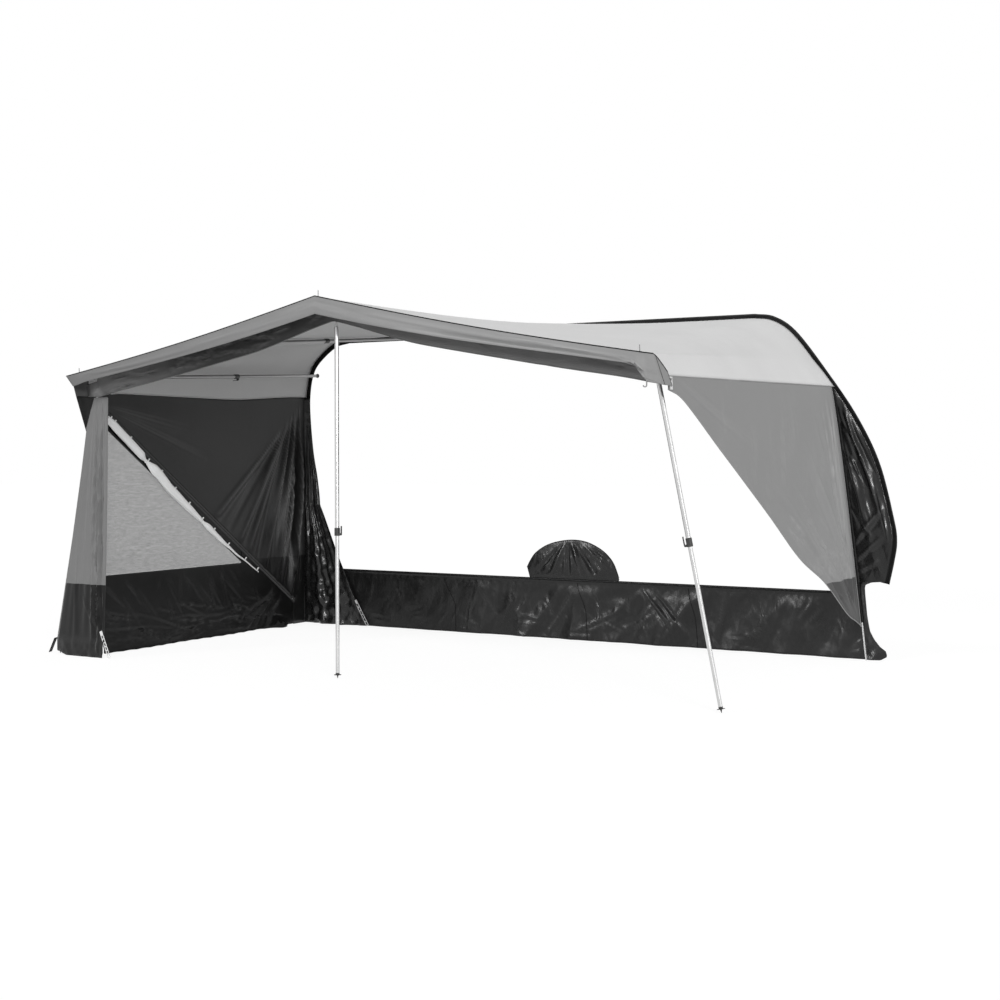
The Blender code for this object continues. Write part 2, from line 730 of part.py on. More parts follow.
def add_leg(name, x, foot_x, spin):
    """A telescopic leg that hooks over a rafter. Its empty lies on the rafter's axis, with local Z up the leg."""
    top = rafter_point(x, LEG_LINE)
    front, rear = rafter_axis(x)
    span = top - Vector((foot_x, top.y, 0.0))
    length = span.length
    lean = math.atan2(span.x, span.z)
    pivot = add_empty(name + "_pivot", top)
    pivot.rotation_euler = (0, lean, 0)
    axis = Matrix.Rotation(-lean, 3, "Y") @ (rear - front).normalized()
    note_joint(name + "_swing", pivot, axis)
    clamp_at = (LEG_CLAMP_HEIGHT - top.z) / math.cos(lean)
    clip = clip_mesh(CLIP_HALF, 20.0)
    clip.transform(Vector((0, 1, 0)).rotation_difference(axis).to_matrix().to_4x4())
    neck_top = -(OUTER_R + CLIP_GAP + CLIP_WALL * 0.4)
    neck_low = neck_top - LEG_NECK
    neck = rod("neck", (0, 0, neck_low - LEG_PLUG / 2), (0, 0, neck_top), LEG_NECK_R, 10)
    cap = turned("cap", [
        (0.0, neck_low), (LEG_NECK_R * 1.4, neck_low), (OUTER_R - TUBE_WALL / 2, neck_low - LEG_PLUG / 3),
        (OUTER_R - TUBE_WALL / 2, neck_low - LEG_PLUG), (0.0, neck_low - LEG_PLUG),
    ])
    outer = tube_mesh("outer", OUTER_R, clamp_at - CLAMP_STEP + TUBE_GAP, neck_low - LEG_PLUG / 2)
    upper = add_part(name + "_upper_tube", combined(name, [neck, clip, cap, outer]), ALUMINIUM, pivot)
    smooth(upper.data)
    add_clamp(name, pivot, clamp_at, spin, True)
    slide = add_empty(name + "_slide", (0, 0, clamp_at), pivot)
    note_joint(name + "_slide", slide, (0, 0, 1))
    foot_at = FOOT_SPIKE + FOOT_FLANGE + FOOT_COLLAR - (length + clamp_at)
    lower_mesh = tube_mesh(name + "_lower", INNER_R, foot_at + TUBE_GAP, TUBE_OVERLAP)
    lower = add_part(name + "_lower_tube", lower_mesh, ALUMINIUM, slide)
    smooth(lower.data)
    bore = INNER_R - TUBE_WALL - TUBE_GAP
    flange = foot_at - FOOT_COLLAR
    tip = -(length + clamp_at)
    foot_mesh = turned(name + "_foot", [
        (0.0, foot_at + FOOT_PLUG), (bore, foot_at + FOOT_PLUG), (bore, foot_at), (INNER_R, foot_at),
        (INNER_R, flange), (FOOT_FLANGE_R, flange - FOOT_FLANGE / 2), (FOOT_FLANGE_R, flange - FOOT_FLANGE),
        (FOOT_SPIKE_R, flange - FOOT_FLANGE * 0.75), (FOOT_SPIKE_R / 5, tip), (0.0, tip),
    ])
    foot_obj = add_part(name + "_foot", foot_mesh, CLAMP_PLASTIC, slide)
    smooth(foot_obj.data)


def roof_columns():
    """The places across the roof where its cloth has a line of points, at the front edge."""
    inner = FRONT_HALF - MID_RAFTER_X
    left = [-FRONT_HALF + inner * s for s in (0, 0.035, 0.09, 0.17, 0.27, 0.42, 0.60, 0.80)]
    left += [lerp(-MID_RAFTER_X, PEAK_OFFSET - STRIP_NOTCH_HALF, s) for s in (0, 0.25, 0.5, 0.75, 1.0)]
    right = [FRONT_HALF - inner * s for s in (0.80, 0.60, 0.42, 0.30, 0.19, 0.10, 0.04, 0)]
    near = [lerp(PEAK_OFFSET + STRIP_NOTCH_HALF, MID_RAFTER_X, s) for s in (0, 0.25, 0.5, 0.75, 1.0)]
    return left + [PEAK_OFFSET] + near + right


ROOF_COLUMNS = roof_columns()


def seam_left_rule(depth):
    near_front = lerp(SEAM_DIP_LEFT, SEAM_FRONT_LEFT, ramp(depth, DEPTH * 0.80, WING_FRONT))
    return lerp(SEAM_REAR_LEFT, near_front, ramp(depth, 0.0, DEPTH * 0.40))


def seam_left(depth):
    """The height of the left seam between roof and wall."""
    return sectioned(seam_left_rule, depth)


def seam_right(depth):
    return lerp(SEAM_REAR_RIGHT, SEAM_FRONT_RIGHT, depth / DEPTH)


def left_wall_x(depth):
    return -lerp(RAIL_LEFT, SIDE_FRONT_X, depth / DEPTH)


def right_seam_x(depth):
    return lerp(SEAM_RIGHT_X, RIGHT_WALL_FRONT_X, depth / DEPTH)


def side_edge_depth(z):
    """How far forward the left side's front edge stands at a height."""
    share = z / TIP_HEIGHT
    for (z0, d0), (z1, d1) in zip(SIDE_EDGE_SHARES, SIDE_EDGE_SHARES[1:]):
        if share <= z1:
            return DEPTH * lerp(d0, d1, (share - z0) / (z1 - z0))
    return DEPTH


def side_depth(depth, z):
    """A roof section's depth on the left side, where the sections gather behind the slanted front edge."""
    near = max(depth, BAND_THICK + TOUCH)
    if depth <= LEG_LINE:
        return near
    return lerp(LEG_LINE, side_edge_depth(z), (depth - LEG_LINE) / (DEPTH - LEG_LINE))


def add_roof():
    """The roof: one cloth from the left seam, over both edge rafters and the ridge, to the right seam."""
    rows = []
    for depth in ROOF_DEPTHS:
        y = -max(depth, BAND_THICK + TOUCH)
        t = depth / DEPTH
        fold_z = roof_z(-FRONT_HALF, depth)
        seam_z = seam_left(depth) + SEAM / 2
        mid_z = (seam_z + fold_z) / 2
        mid_x = (left_wall_x(depth) - FRONT_HALF) / 2 - CLOTH * (1 - t)
        row = [Vector((left_wall_x(depth), -side_depth(depth, seam_z), seam_z))]
        row.append(Vector((mid_x, -side_depth(depth, mid_z), mid_z)))
        for x in ROOF_COLUMNS:
            wide = x * lerp(FOLD_RIGHT_REAR / FRONT_HALF, 1.0, t) if x > MID_RAFTER_X else x
            z = lerp(rail_z_at(wide), front_z_at(x), t) - sag_at(x, depth)
            row.append(Vector((wide, y, z)))
        end = Vector((right_seam_x(depth), y, seam_right(depth) + SEAM / 2))
        row.append((row[-1] + end) / 2 + Vector((CLOTH, 0, 0)))
        row.append(end)
        rows.append(row)
    roof = cloth("roof", rows, ROOF_CLOTH)
    for x in (-EDGE_RAFTER_X, PEAK_OFFSET, EDGE_RAFTER_X):
        front, rear = rafter_axis(x)
        along = (front - rear).normalized()
        up = along.cross(Vector((1, 0, 0)))
        at = front - along * PIN_BACK
        hole = rod("eyelet_cutter", at + up * PIN_R, at + up * (RAFTER_DROP + PIN_RISE), PIN_R + EYELET_GAP, 10)
        cutter = bpy.data.objects.new("eyelet_cutter", hole)
        CUTTERS.objects.link(cutter)
        cutter.parent = ORIGIN
        cutter.hide_render = True
        cutter.display_type = "WIRE"
        cut = roof.modifiers.new("eyelet", "BOOLEAN")
        cut.operation = "DIFFERENCE"
        cut.solver = "EXACT"
        cut.object = cutter


def right_side_x(depth, z):
    """The roof's right side at a depth and height, between its fold and its seam."""
    fold_x = lerp(FOLD_RIGHT_REAR, FRONT_HALF, depth / DEPTH)
    fold_z = lerp(rail_z_at(FOLD_RIGHT_REAR), TIP_HEIGHT, depth / DEPTH)
    down = (fold_z - z) / (fold_z - seam_right(depth))
    return lerp(fold_x, right_seam_x(depth), down)


def add_valance():
    """The peaked band along the front edge: cut off at its left end, turned back round the right corner."""
    depth = DEPTH + CLOTH + TOUCH
    rows = [[], [], []]
    for x in ROOF_COLUMNS:
        if abs(x - PEAK_OFFSET) == STRIP_NOTCH_HALF or -FRONT_HALF < x < VALANCE_LEFT_CUT * 1.2 - FRONT_HALF:
            continue
        height = lerp(VALANCE_MIDDLE, VALANCE_END, ramp(abs(x - PEAK_OFFSET), 0.0, FRONT_HALF))
        height += CORNER_FALL * ramp(x, CORNER_START, FRONT_HALF)
        top = front_z_at(x) + CLOTH / 2
        for row, t in zip(rows, (0.0, 0.55, 1.0)):
            z = top - height * t
            across = x
            if x == -FRONT_HALF:
                across = x + VALANCE_LEFT_CUT * t
            elif x == FRONT_HALF:
                across = right_side_x(DEPTH, z) + CLOTH + CORNER_GAP
            bulge = CLOTH * 2 if t == 0.55 and abs(x) < FRONT_HALF else 0.0
            row.append(Vector((across, -depth - bulge, z)))
    for back, fall in CORNER_SHARES:
        behind = depth - CORNER_RETURN * back
        top = TIP_HEIGHT + CLOTH / 2 - CORNER_TOP_FALL * fall
        low = TIP_HEIGHT - VALANCE_END - CORNER_FALL - CORNER_GAP * back
        for row, t in zip(rows, (0.0, 0.55, 1.0)):
            z = lerp(top, low, t)
            row.append(Vector((right_side_x(behind, z) + CLOTH * 2 + CORNER_GAP, -behind, z)))
    cloth("front_valance", rows, GREY_CLOTH)
    return rows[-1]


def add_inner_strip():
    """The zip strip that hangs behind the valance, with a notch over the middle rafter."""
    half = EDGE_RAFTER_X - OUTER_R - CLOTH
    columns = [-half, *(x for x in ROOF_COLUMNS if abs(x) < half - STRIP_NOTCH_HALF), half]
    rows = [[], [], [], []]
    for i, x in enumerate(columns):
        top = roof_z(x, STRIP_LINE) - CLOTH / 2 - SEAM / 2
        share = ramp(abs(x - PEAK_OFFSET), 0.0, MID_RAFTER_X * 0.6)
        low = top - lerp(STRIP_MIDDLE, STRIP_SIDE, share)
        if abs(x - PEAK_OFFSET) < STRIP_NOTCH_HALF * 1.5:
            top -= STRIP_NOTCH
        wave = STRIP_RIPPLE * math.sin(i * 1.9)
        for row, t in zip(rows, (0.0, 0.35, 0.7, 1.0)):
            row.append(Vector((x, -STRIP_LINE - wave * math.sin(math.pi * t), lerp(top, low, t))))
    cloth("inner_strip", rows, DARK_CLOTH)


def zip_height(depth):
    """The height of the left wall's diagonal zip."""
    t = (ZIP_TOP_DEPTH - depth) / (ZIP_TOP_DEPTH - ZIP_END_DEPTH)
    return lerp(ZIP_TOP_HEIGHT, ZIP_END_HEIGHT, t)


def left_fold(depth, share):
    """Folds that hang from the roof seam and gather towards the rear foot."""
    near = ramp(DEPTH * 0.75 - depth, 0.0, DEPTH * 0.5) * ramp(depth, ZIP_END_DEPTH, ZIP_END_DEPTH * 2.5)
    wave = math.sin(LEFT_FOLDS * math.pi * (1 - depth / DEPTH) ** 1.6)
    return WALL_FOLD * near * wave * math.sin(math.pi * min(max(share, 0.0), 1.0)) ** 2


def wing_seam_z(depth):
    """The height of the slanted seam between the left wall and the wing's top."""
    return lerp(WING_WALL_TOP, WING_MEET, (depth - WALL_FRONT) / (WING_MEET_DEPTH - WALL_FRONT))


def add_left_wall():
    """The fixed rear part of the left wall, above the diagonal zip."""
    rear = BAND_THICK + TOUCH
    levels = (0.0, 0.12, 0.3, 0.5, 0.7, 0.88, 1.0)
    depths = [lerp(ZIP_TOP_DEPTH, ZIP_END_DEPTH, j / 20) for j in range(21)]
    foot = ZIP_END_DEPTH - CLOTH
    depths = [WALL_FRONT, *depths, foot, lerp(foot, rear, 0.5), REAR_PANEL_DEPTH * 2, rear]
    rows = [[] for _ in levels]
    section_depths = [depth for depth in reversed(ROOF_DEPTHS) if depth >= LEG_LINE]
    for i, depth in enumerate(section_depths):
        seam_z = seam_left(depth) + SEAM / 2
        high = Vector((left_wall_x(depth), -side_depth(depth, seam_z), seam_z - SEAM))
        low_depth = lerp(WING_MEET_DEPTH, WALL_FRONT, i / len(section_depths))
        low = Vector((left_wall_x(low_depth), -low_depth, wing_seam_z(low_depth) + CLOTH))
        for row, t in zip(rows, levels):
            row.append(high.lerp(low, t))
    for depth in sorted({*depths, *(d for d in ROOF_DEPTHS if rear < d < WALL_FRONT)}, reverse=True):
        x = left_wall_x(depth)
        top = seam_left(depth) - SEAM / 2
        if depth > ZIP_TOP_DEPTH:
            low = WING_WALL_TOP + CLOTH
        else:
            low = zip_height(depth) if depth > foot else 0.0
        for row, t in zip(rows, levels):
            row.append(Vector((x + left_fold(depth, t), -depth, lerp(top, low, t))))
    cloth("left_wall_panel", rows, DARK_CLOTH)


def add_left_panels():
    """The zip border and mud band as one sheet round the window, and the window's foil."""
    rise = (ZIP_TOP_HEIGHT - ZIP_END_HEIGHT) / (ZIP_TOP_DEPTH - ZIP_END_DEPTH)
    border = ZIP_BORDER / math.cos(math.atan(rise))
    gap = SEAM / math.cos(math.atan(rise))
    tip_depth = ZIP_END_DEPTH + (MUD_HEIGHT + border - ZIP_END_HEIGHT) / rise
    verts = []
    faces = []

    def at(depth, z):
        verts.append((left_wall_x(depth), -depth, z))
        return len(verts) - 1

    steps = 12
    wall_front = WALL_FRONT
    outer = []
    inner = []
    for j in range(steps + 1):
        depth = lerp(ZIP_TOP_DEPTH, tip_depth, j / steps)
        outer.append(at(depth, zip_height(depth) - gap))
        inner.append(at(depth, max(zip_height(depth) - gap - border, MUD_HEIGHT)))
    for j in range(steps):
        faces.append((outer[j], outer[j + 1], inner[j + 1], inner[j]))
    front_top = at(wall_front, ZIP_TOP_HEIGHT - gap)
    front_low = at(wall_front, zip_height(ZIP_TOP_DEPTH) - gap - border)
    faces.append((front_top, outer[0], inner[0], front_low))
    depths = [lerp(tip_depth, wall_front, j / steps) for j in range(1, steps + 1)]
    top_row = [inner[steps]] + [at(d, MUD_HEIGHT) for d in depths]
    low_row = [at(tip_depth, 0.0)] + [at(d, 0.0) for d in depths]
    for j in range(steps):
        faces.append((top_row[j], low_row[j], low_row[j + 1], top_row[j + 1]))
    rear_steps = 4
    rear_top = [outer[steps]]
    rear_low = [low_row[0]]
    for j in range(1, rear_steps + 1):
        depth = lerp(tip_depth, ZIP_END_DEPTH + gap, j / rear_steps)
        rear_top.append(at(depth, zip_height(depth) - gap))
        rear_low.append(at(depth, 0.0))
    faces.append((outer[steps], rear_top[1], rear_low[1], low_row[0], inner[steps]))
    for j in range(1, rear_steps):
        faces.append((rear_top[j], rear_top[j + 1], rear_low[j + 1], rear_low[j]))
    mesh = bpy.data.meshes.new("left_door_panel")
    mesh.from_pydata(verts, [], faces)
    work = bmesh.new()
    work.from_mesh(mesh)
    bmesh.ops.recalc_face_normals(work, faces=work.faces)
    work.to_mesh(mesh)
    work.free()
    door = add_part("left_door_panel", mesh, MUD_PVC)
    solid = door.modifiers.new("thickness", "SOLIDIFY")
    solid.thickness = CLOTH
    solid.offset = 0.0
    rows = [[], []]
    for j in range(steps + 1):
        depth = lerp(WALL_FRONT, tip_depth + SEAM * 3, j / steps)
        top = zip_height(min(depth, ZIP_TOP_DEPTH)) - gap - border - SEAM
        low = MUD_HEIGHT + SEAM
        rows[0].append(Vector((left_wall_x(depth), -depth, max(top, low + SEAM))))
        rows[1].append(Vector((left_wall_x(depth), -depth, low)))
    cloth("left_window", rows, WINDOW_FOIL)


def add_blind():
    """The rolled blind under the zip, pinched where its ties hold it."""
    start = Vector((0, -ZIP_TOP_DEPTH, ZIP_TOP_HEIGHT))
    end = Vector((0, -BLIND_END_DEPTH, zip_height(BLIND_END_DEPTH)))
    along = (end - start).normalized()
    across = Vector((1, 0, 0)).cross(along)
    across = across if across.z < 0 else -across
    rows = []
    sides = 12
    sections = 26
    for i in range(sections + 1):
        t = i / sections
        width = table(BLIND_WIDTH_SHARES, t)
        centre = start.lerp(end, t) + across * (BLIND_DROP * table(BLIND_DROP_SHARES, t))
        centre.x = left_wall_x(-centre.y) + CLOTH / 2 + TOUCH + BLIND_HALF_DEPTH * width
        ring = []
        for k in range(sides):
            a = 2 * math.pi * k / sides
            offset = across * (math.cos(a) * BLIND_HALF_WIDTH * width)
            ring.append(centre + offset + Vector((math.sin(a) * BLIND_HALF_DEPTH * width, 0, 0)))
        rows.append(ring)
    verts = [tuple(p) for ring in rows for p in ring]
    faces = []
    for i in range(sections):
        for k in range(sides):
            a = i * sides + k
            b = i * sides + (k + 1) % sides
            faces.append((a, b, b + sides, a + sides))
    faces.append(tuple(range(sides)))
    faces.append(tuple(sections * sides + k for k in range(sides)))
    mesh = bpy.data.meshes.new("rolled_blind")
    mesh.from_pydata(verts, [], faces)
    work = bmesh.new()
    work.from_mesh(mesh)
    bmesh.ops.recalc_face_normals(work, faces=work.faces)
    work.to_mesh(mesh)
    work.free()
    smooth(mesh)
    add_part("rolled_blind", mesh, BLIND_CLOTH)


def add_left_wing():
    """The storm wing: from the wall's front edge round the outside of the corner leg to a free front edge.

    Its columns are straight from top to foot, so it's a ruled sheet, and its folds are added across the front.
    """
    wall_x = -left_wall_x(WALL_FRONT)
    behind = WALL_FRONT + SEAM + CLOTH / 2
    outer = lerp(wall_x, WING_MEET_OUT, 0.5)
    first = lerp(behind, WING_BACK, 0.6)
    second = lerp(WING_BACK, WING_MEET_DEPTH, 0.6)
    columns = [
        ((wall_x, behind, wing_seam_z(behind)), (wall_x, behind, 0.0)),
        ((outer, first, wing_seam_z(first)),
         (lerp(wall_x, WING_FOOT_OUT, 0.62), lerp(behind, WING_BACK, 0.35), WING_CUT * 0.4)),
        ((WING_MEET_OUT, WING_BACK, wing_seam_z(WING_BACK)), (WING_FOOT_OUT, WING_BACK, WING_CUT)),
        ((WING_MEET_OUT, second, wing_seam_z(second)), (WING_FOOT_OUT + CLOTH, second, WING_CUT)),
        ((WING_MEET_OUT, WING_MEET_DEPTH, WING_MEET), (WING_FOOT_OUT, WING_MEET_DEPTH + CLOTH, WING_CUT * 0.9)),
    ]
    front_top = [(lerp(WING_MEET_OUT, WING_TOP_OUT, s), lerp(WING_MEET, WING_TOP, s)) for s in (0.25, 0.6, 1.0)]
    front_top += [(lerp(WING_TOP_OUT, WING_INNER_TOP, s), WING_TOP) for s in (0.17, 0.34, 0.5, 0.67, 0.84, 1.0)]
    count = len(front_top)
    for i, (x, z) in enumerate(front_top):
        s = i / (count - 1)
        foot_z = WING_CUT * 0.25 * (1 - ramp(s, 0.0, 0.25))
        foot = (lerp(WING_FOOT_CORNER + CLOTH * 8, WING_INNER_FOOT, s), WING_FRONT, foot_z)
        columns.append(((x, lerp(WING_MEET_DEPTH, WING_FRONT, min(s * 8 + 0.5, 1.0)), z), foot))
    rows = []
    for t in (0.0, 0.1, 0.22, 0.36, 0.5, 0.64, 0.78, 0.9, 1.0):
        row = []
        for i, (top, foot) in enumerate(columns):
            x, depth, z = (lerp(a, b, t) for a, b in zip(top, foot))
            s = max(i - 5, 0) / (len(columns) - 6)
            fold = WING_FOLD * math.sin(s * 3.5 * math.pi) * math.sin(math.pi * min(t * 0.9 + 0.2, 1.0))
            row.append(Vector((-x, -depth - fold * ramp(s, 0.1, 0.4), z)))
        rows.append(row)
    cloth("left_wing", rows, GREY_CLOTH)


def add_left_rear_panel():
    """The crinkled flap between the left wall and the rail, spreading inward to a free edge at the ground."""
    columns = 13
    levels = (0.0, 0.14, 0.28, 0.40, 0.47, 0.56, 0.66, 0.76, 0.88, 1.0)
    rows = []
    for level in levels:
        height = lerp(REAR_PANEL_TOP, 0.0, level)
        low = 1 - min(height / REAR_PANEL_FREE, 1.0)
        seat = BAND_THICK + CLOTH / 2 + TOUCH
        near = rail_x_at(LEFT_RAIL, max(height, REAR_PANEL_FREE)) + BAND_INNER
        edge = lerp(near, -REAR_PANEL_FOOT, low)
        row = []
        for j in range(columns + 1):
            s = j / columns
            wave = math.sin(s * 7 * math.pi + level * 3.0) * math.sin(math.pi * s)
            flat = lerp(REAR_PANEL_DEPTH, lerp(seat, REAR_PANEL_DEPTH, ramp(low, 0.0, 0.5)), s)
            depth = flat + REAR_FOLD * wave * ramp(level, 0.05, 0.5)
            x = lerp(left_wall_x(depth) + CLOTH + TOUCH * 2, edge, s)
            row.append(Vector((x, -depth, height)))
        rows.append(row)
    cloth("left_rear_panel", rows, GLOSS_PVC)


def add_rail_band():
    """The black strip along the rail, flat on the caravan wall."""
    outline = [(x, z) for x, z in reversed(LEFT_RAIL)] + [(x, z) for x, z in RIGHT_RAIL]
    outline = outline[::3] + ([outline[-1]] if (len(outline) - 1) % 3 else [])
    inner = []
    outer = []
    for i, (x, z) in enumerate(outline):
        x0, z0 = outline[max(i - 1, 0)]
        x1, z1 = outline[min(i + 1, len(outline) - 1)]
        along = Vector((x1 - x0, 0, z1 - z0)).normalized()
        out = Vector((-along.z, 0, along.x))
        middle = Vector((x, -BAND_THICK / 2, z))
        inner.append(middle - out * BAND_INNER)
        outer.append(middle + out * BAND_OUTER)
    cloth("rail_band", [inner, outer], GLOSS_PVC, thickness=BAND_THICK)


def add_skirt():
    """The draught skirt along the caravan's lower edge, with a bead along its top."""
    columns = 44
    levels = (1.0, 0.965, 0.94, 0.75, 0.5, 0.25, 0.0)
    rows = []
    for level in levels:
        row = []
        for j in range(columns + 1):
            s = j / columns
            right = right_rear_x(SKIRT_HEIGHT * level) - RIGHT_TUCK - TOUCH
            x = lerp(-SKIRT_LEFT, right, s)
            crinkle = SKIRT_CRINKLE * math.sin(j * 1.7 + level * 5.0) * math.sin(j * 0.61 + level * 2.0)
            bead = SKIRT_BEAD if level == 0.965 else 0.0
            depth = SKIRT_DEPTH + bead + crinkle * ramp(1.0 - level, 0.03, 0.3)
            row.append(Vector((x, -depth, SKIRT_HEIGHT * level)))
        rows.append(row)
    cloth("draught_skirt", rows, MUD_PVC)


def add_arch_cover():
    """The wheel-arch cover behind the skirt's top edge."""
    low = SKIRT_HEIGHT - ARCH_OVERLAP
    rise = ARCH_TOP - low
    top = spline([(ARCH_LEFT + ARCH_WIDTH * a, 0, low + rise * b) for a, b in ARCH_OUTLINE_SHARES], 19)
    back = SKIRT_DEPTH - CLOTH - TOUCH
    rows = [[], [], [], [], []]
    for i, p in enumerate(top):
        s = i / (len(top) - 1)
        base_x = ARCH_LEFT + ARCH_WIDTH * lerp(0.04, 0.985, s)
        edge = Vector((base_x, 0, SKIRT_HEIGHT)).lerp(p, ARCH_OVERLAP / rise)
        edge.z = SKIRT_HEIGHT
        rows[0].append(Vector((base_x, -back, low)))
        for row, t in zip(rows[1:], (0.0, 0.35, 0.7, 1.0)):
            q = edge.lerp(p, t)
            q.y = -back - ARCH_BULGE * math.sin(math.pi * t) * math.sin(math.pi * s)
            row.append(q)
    cloth("wheel_arch_cover", rows, GLOSS_PVC)


def right_rear_x(height):
    """The right wall's rear edge, which spreads outwards towards the ground."""
    t = 1 - height / SEAM_REAR_RIGHT
    return lerp(SEAM_RIGHT_X, RIGHT_REAR_FOOT_X, t ** 0.85)


def right_wall_x(depth, z):
    """The right wall's x at a depth and height, without its folds. It leans out more towards the rear."""
    front = DEPTH - CORNER_RETURN + CLOTH
    s = (front - depth) / (front - RIGHT_WALL_REAR)
    spread = right_rear_x(z) - right_rear_x(seam_right(depth) - SEAM / 2)
    return right_seam_x(depth) + spread * ramp(s, -0.4, 1.0)


def add_right_wall():
    """The right wall: a triangle from the roof seam to the rear foot, with a hollow-curved free edge."""
    columns = 20
    levels = RIGHT_LEVEL_SHARES
    rows = [[] for _ in levels]
    curve = spline([(a, b, 0) for a, b in RIGHT_WALL_EDGE_SHARES], columns + 1)
    hem = [p.y for p in curve]
    for p in curve:
        s = p.x
        depth = lerp(DEPTH - CORNER_RETURN + CLOTH, RIGHT_WALL_REAR, s)
        top = seam_right(depth) - SEAM / 2
        low = seam_right(0.0) * hem.pop(0)
        low = min(low, top - SEAM * 20)
        low = max(low, 0.0)
        for row, t in zip(rows, levels):
            z = lerp(top, low, t)
            x = right_wall_x(depth, z)
            fold = RIGHT_FOLD * math.sin(6 * math.pi * s * s) * math.sin(math.pi * t) * ramp(s, 0.3, 0.8)
            row.append(Vector((x + fold, -depth, z)))
    cloth("right_wall_panel", rows, GREY_CLOTH)


def add_right_rear_panel():
    """The dark folded panel between the right wall's rear edge and the rail, with a foot flap below it."""
    columns = 9
    spans = []
    full = 10
    for i in range(full + 1):
        height = lerp(SEAM_REAR_RIGHT - CLOTH * 4, RIGHT_REAR_LOW, i / full)
        spans.append((height, rail_x_at(RIGHT_RAIL, height) - TOUCH))
    for height_share, width_share in FLAP_SHARES:
        height = RIGHT_REAR_LOW * height_share
        spans.append((height, right_rear_x(height) - RIGHT_TUCK + FLAP_WIDTH * width_share))
    rows = []
    for height, edge in spans:
        low = 1 - min(height / RIGHT_REAR_LOW, 1.0)
        start = right_rear_x(height) - RIGHT_TUCK
        row = []
        for j in range(columns + 1):
            s = j / columns
            seat = BAND_THICK + CLOTH / 2 + TOUCH
            wave = RIGHT_FOLD * math.sin(5 * math.pi * s + height * 2) * math.sin(math.pi * s)
            depth = lerp(RIGHT_PANEL_DEPTH, seat, s) + abs(wave) * (1 - low)
            row.append(Vector((lerp(start, edge, s), -depth, height)))
        rows.append(row)
    cloth("right_rear_panel", rows, GLOSS_PVC)


def ladder_mesh(length):
    """A pegging ladder: a tab, then a strip with a row of holes. It hangs from its origin along local -Z."""
    half = LADDER_WIDTH / 2
    outline = [(-half, 0), (half, 0), (half, -length), (-half, -length)]
    pitch = (length - LADDER_TAB) / LADDER_HOLES
    inner = half - LADDER_RAIL
    holes = []
    for i in range(LADDER_HOLES):
        top = -(LADDER_TAB + i * pitch)
        low = top - pitch + LADDER_RUNG
        holes.append([(-inner, top), (inner, top), (inner, low), (-inner, low)])
    return plate("ladder", outline, LADDER_THICK / 2, holes)


def add_ladders():
    """The three pegging ladders, each from a hem down to the ground, facing the front."""
    seat = CLOTH / 2 + TOUCH + LADDER_THICK / 2
    wing = -(WING_FRONT + seat)
    flap = -(REAR_PANEL_DEPTH + seat)
    places = (
        ("left_front_ladder", (LADDER_LEFT_X, wing, LADDER_LEFT_TOP), LADDER_LEFT_OUT),
        ("left_rear_ladder", (LADDER_MIDDLE_X, flap, LADDER_MIDDLE_TOP), LADDER_MIDDLE_OUT),
    )
    for name, top, out in places:
        lean = math.atan2(out, top[2])
        length = (top[2] - LADDER_WIDTH / 2 * math.sin(lean) - TOUCH) / math.cos(lean)
        strap = add_part(name, ladder_mesh(length), WHITE_PLASTIC)
        strap.location = top
        strap.rotation_euler = (0, -lean, 0)
    hem_z = SEAM_REAR_RIGHT * RIGHT_WALL_EDGE_SHARES[-1][1]
    rise = (SEAM_REAR_RIGHT - hem_z) * (1 - RIGHT_LEVEL_SHARES[-2])
    near = RIGHT_WALL_REAR + LADDER_WIDTH / 2
    hem_x = right_wall_x(near, hem_z)
    lean = math.atan2(hem_x - right_wall_x(near, hem_z + rise), rise)
    top_x = hem_x - (LADDER_RIGHT_TOP - hem_z) * math.tan(lean) + seat
    length = (LADDER_RIGHT_TOP - LADDER_THICK * math.sin(lean) - TOUCH) / math.cos(lean)
    strap = add_part("right_rear_ladder", ladder_mesh(length), WHITE_PLASTIC)
    strap.location = (top_x, -(RIGHT_WALL_REAR + LADDER_WIDTH), LADDER_RIGHT_TOP)
    strap.rotation_euler = (-lean, 0, math.pi / 2)


def add_zip_slider():
    """The slider of the diagonal zip, at its closed lower end on the wall's inner face, with its pull tab."""
    start = Vector((left_wall_x(ZIP_TOP_DEPTH), -ZIP_TOP_DEPTH, ZIP_TOP_HEIGHT))
    end = Vector((left_wall_x(ZIP_END_DEPTH), -ZIP_END_DEPTH, ZIP_END_HEIGHT))
    along = (end - start).normalized()
    stand_off = Vector((CLOTH / 2 + TOUCH + SLIDER_THICK / 2, 0, 0))
    track = add_empty("zip_slider_track", end - along * SLIDER_LENGTH + stand_off)
    aim(track, along)
    note_joint("zip_slide", track, (0, 0, 1))
    wide = SLIDER_HALF_WIDTH
    narrow = SLIDER_HALF_WIDTH * SLIDER_TAPER_SHARE
    slim = SLIDER_TAB_HALF_WIDTH
    tab_at = SLIDER_LENGTH / 2
    body = [(-wide, 0), (wide, 0), (narrow, SLIDER_LENGTH), (-narrow, SLIDER_LENGTH)]
    pull = [(-slim, tab_at), (slim, tab_at), (slim, tab_at + SLIDER_TAB), (-slim, tab_at + SLIDER_TAB)]
    pieces = [plate("block", body, SLIDER_THICK / 2), plate("tab", pull, SLIDER_TAB_THICK / 2)]
    for piece in pieces:
        piece.transform(Matrix.Rotation(math.pi / 2, 4, "Z"))
    add_part("zip_slider", combined("zip_slider", pieces), STEEL, track)


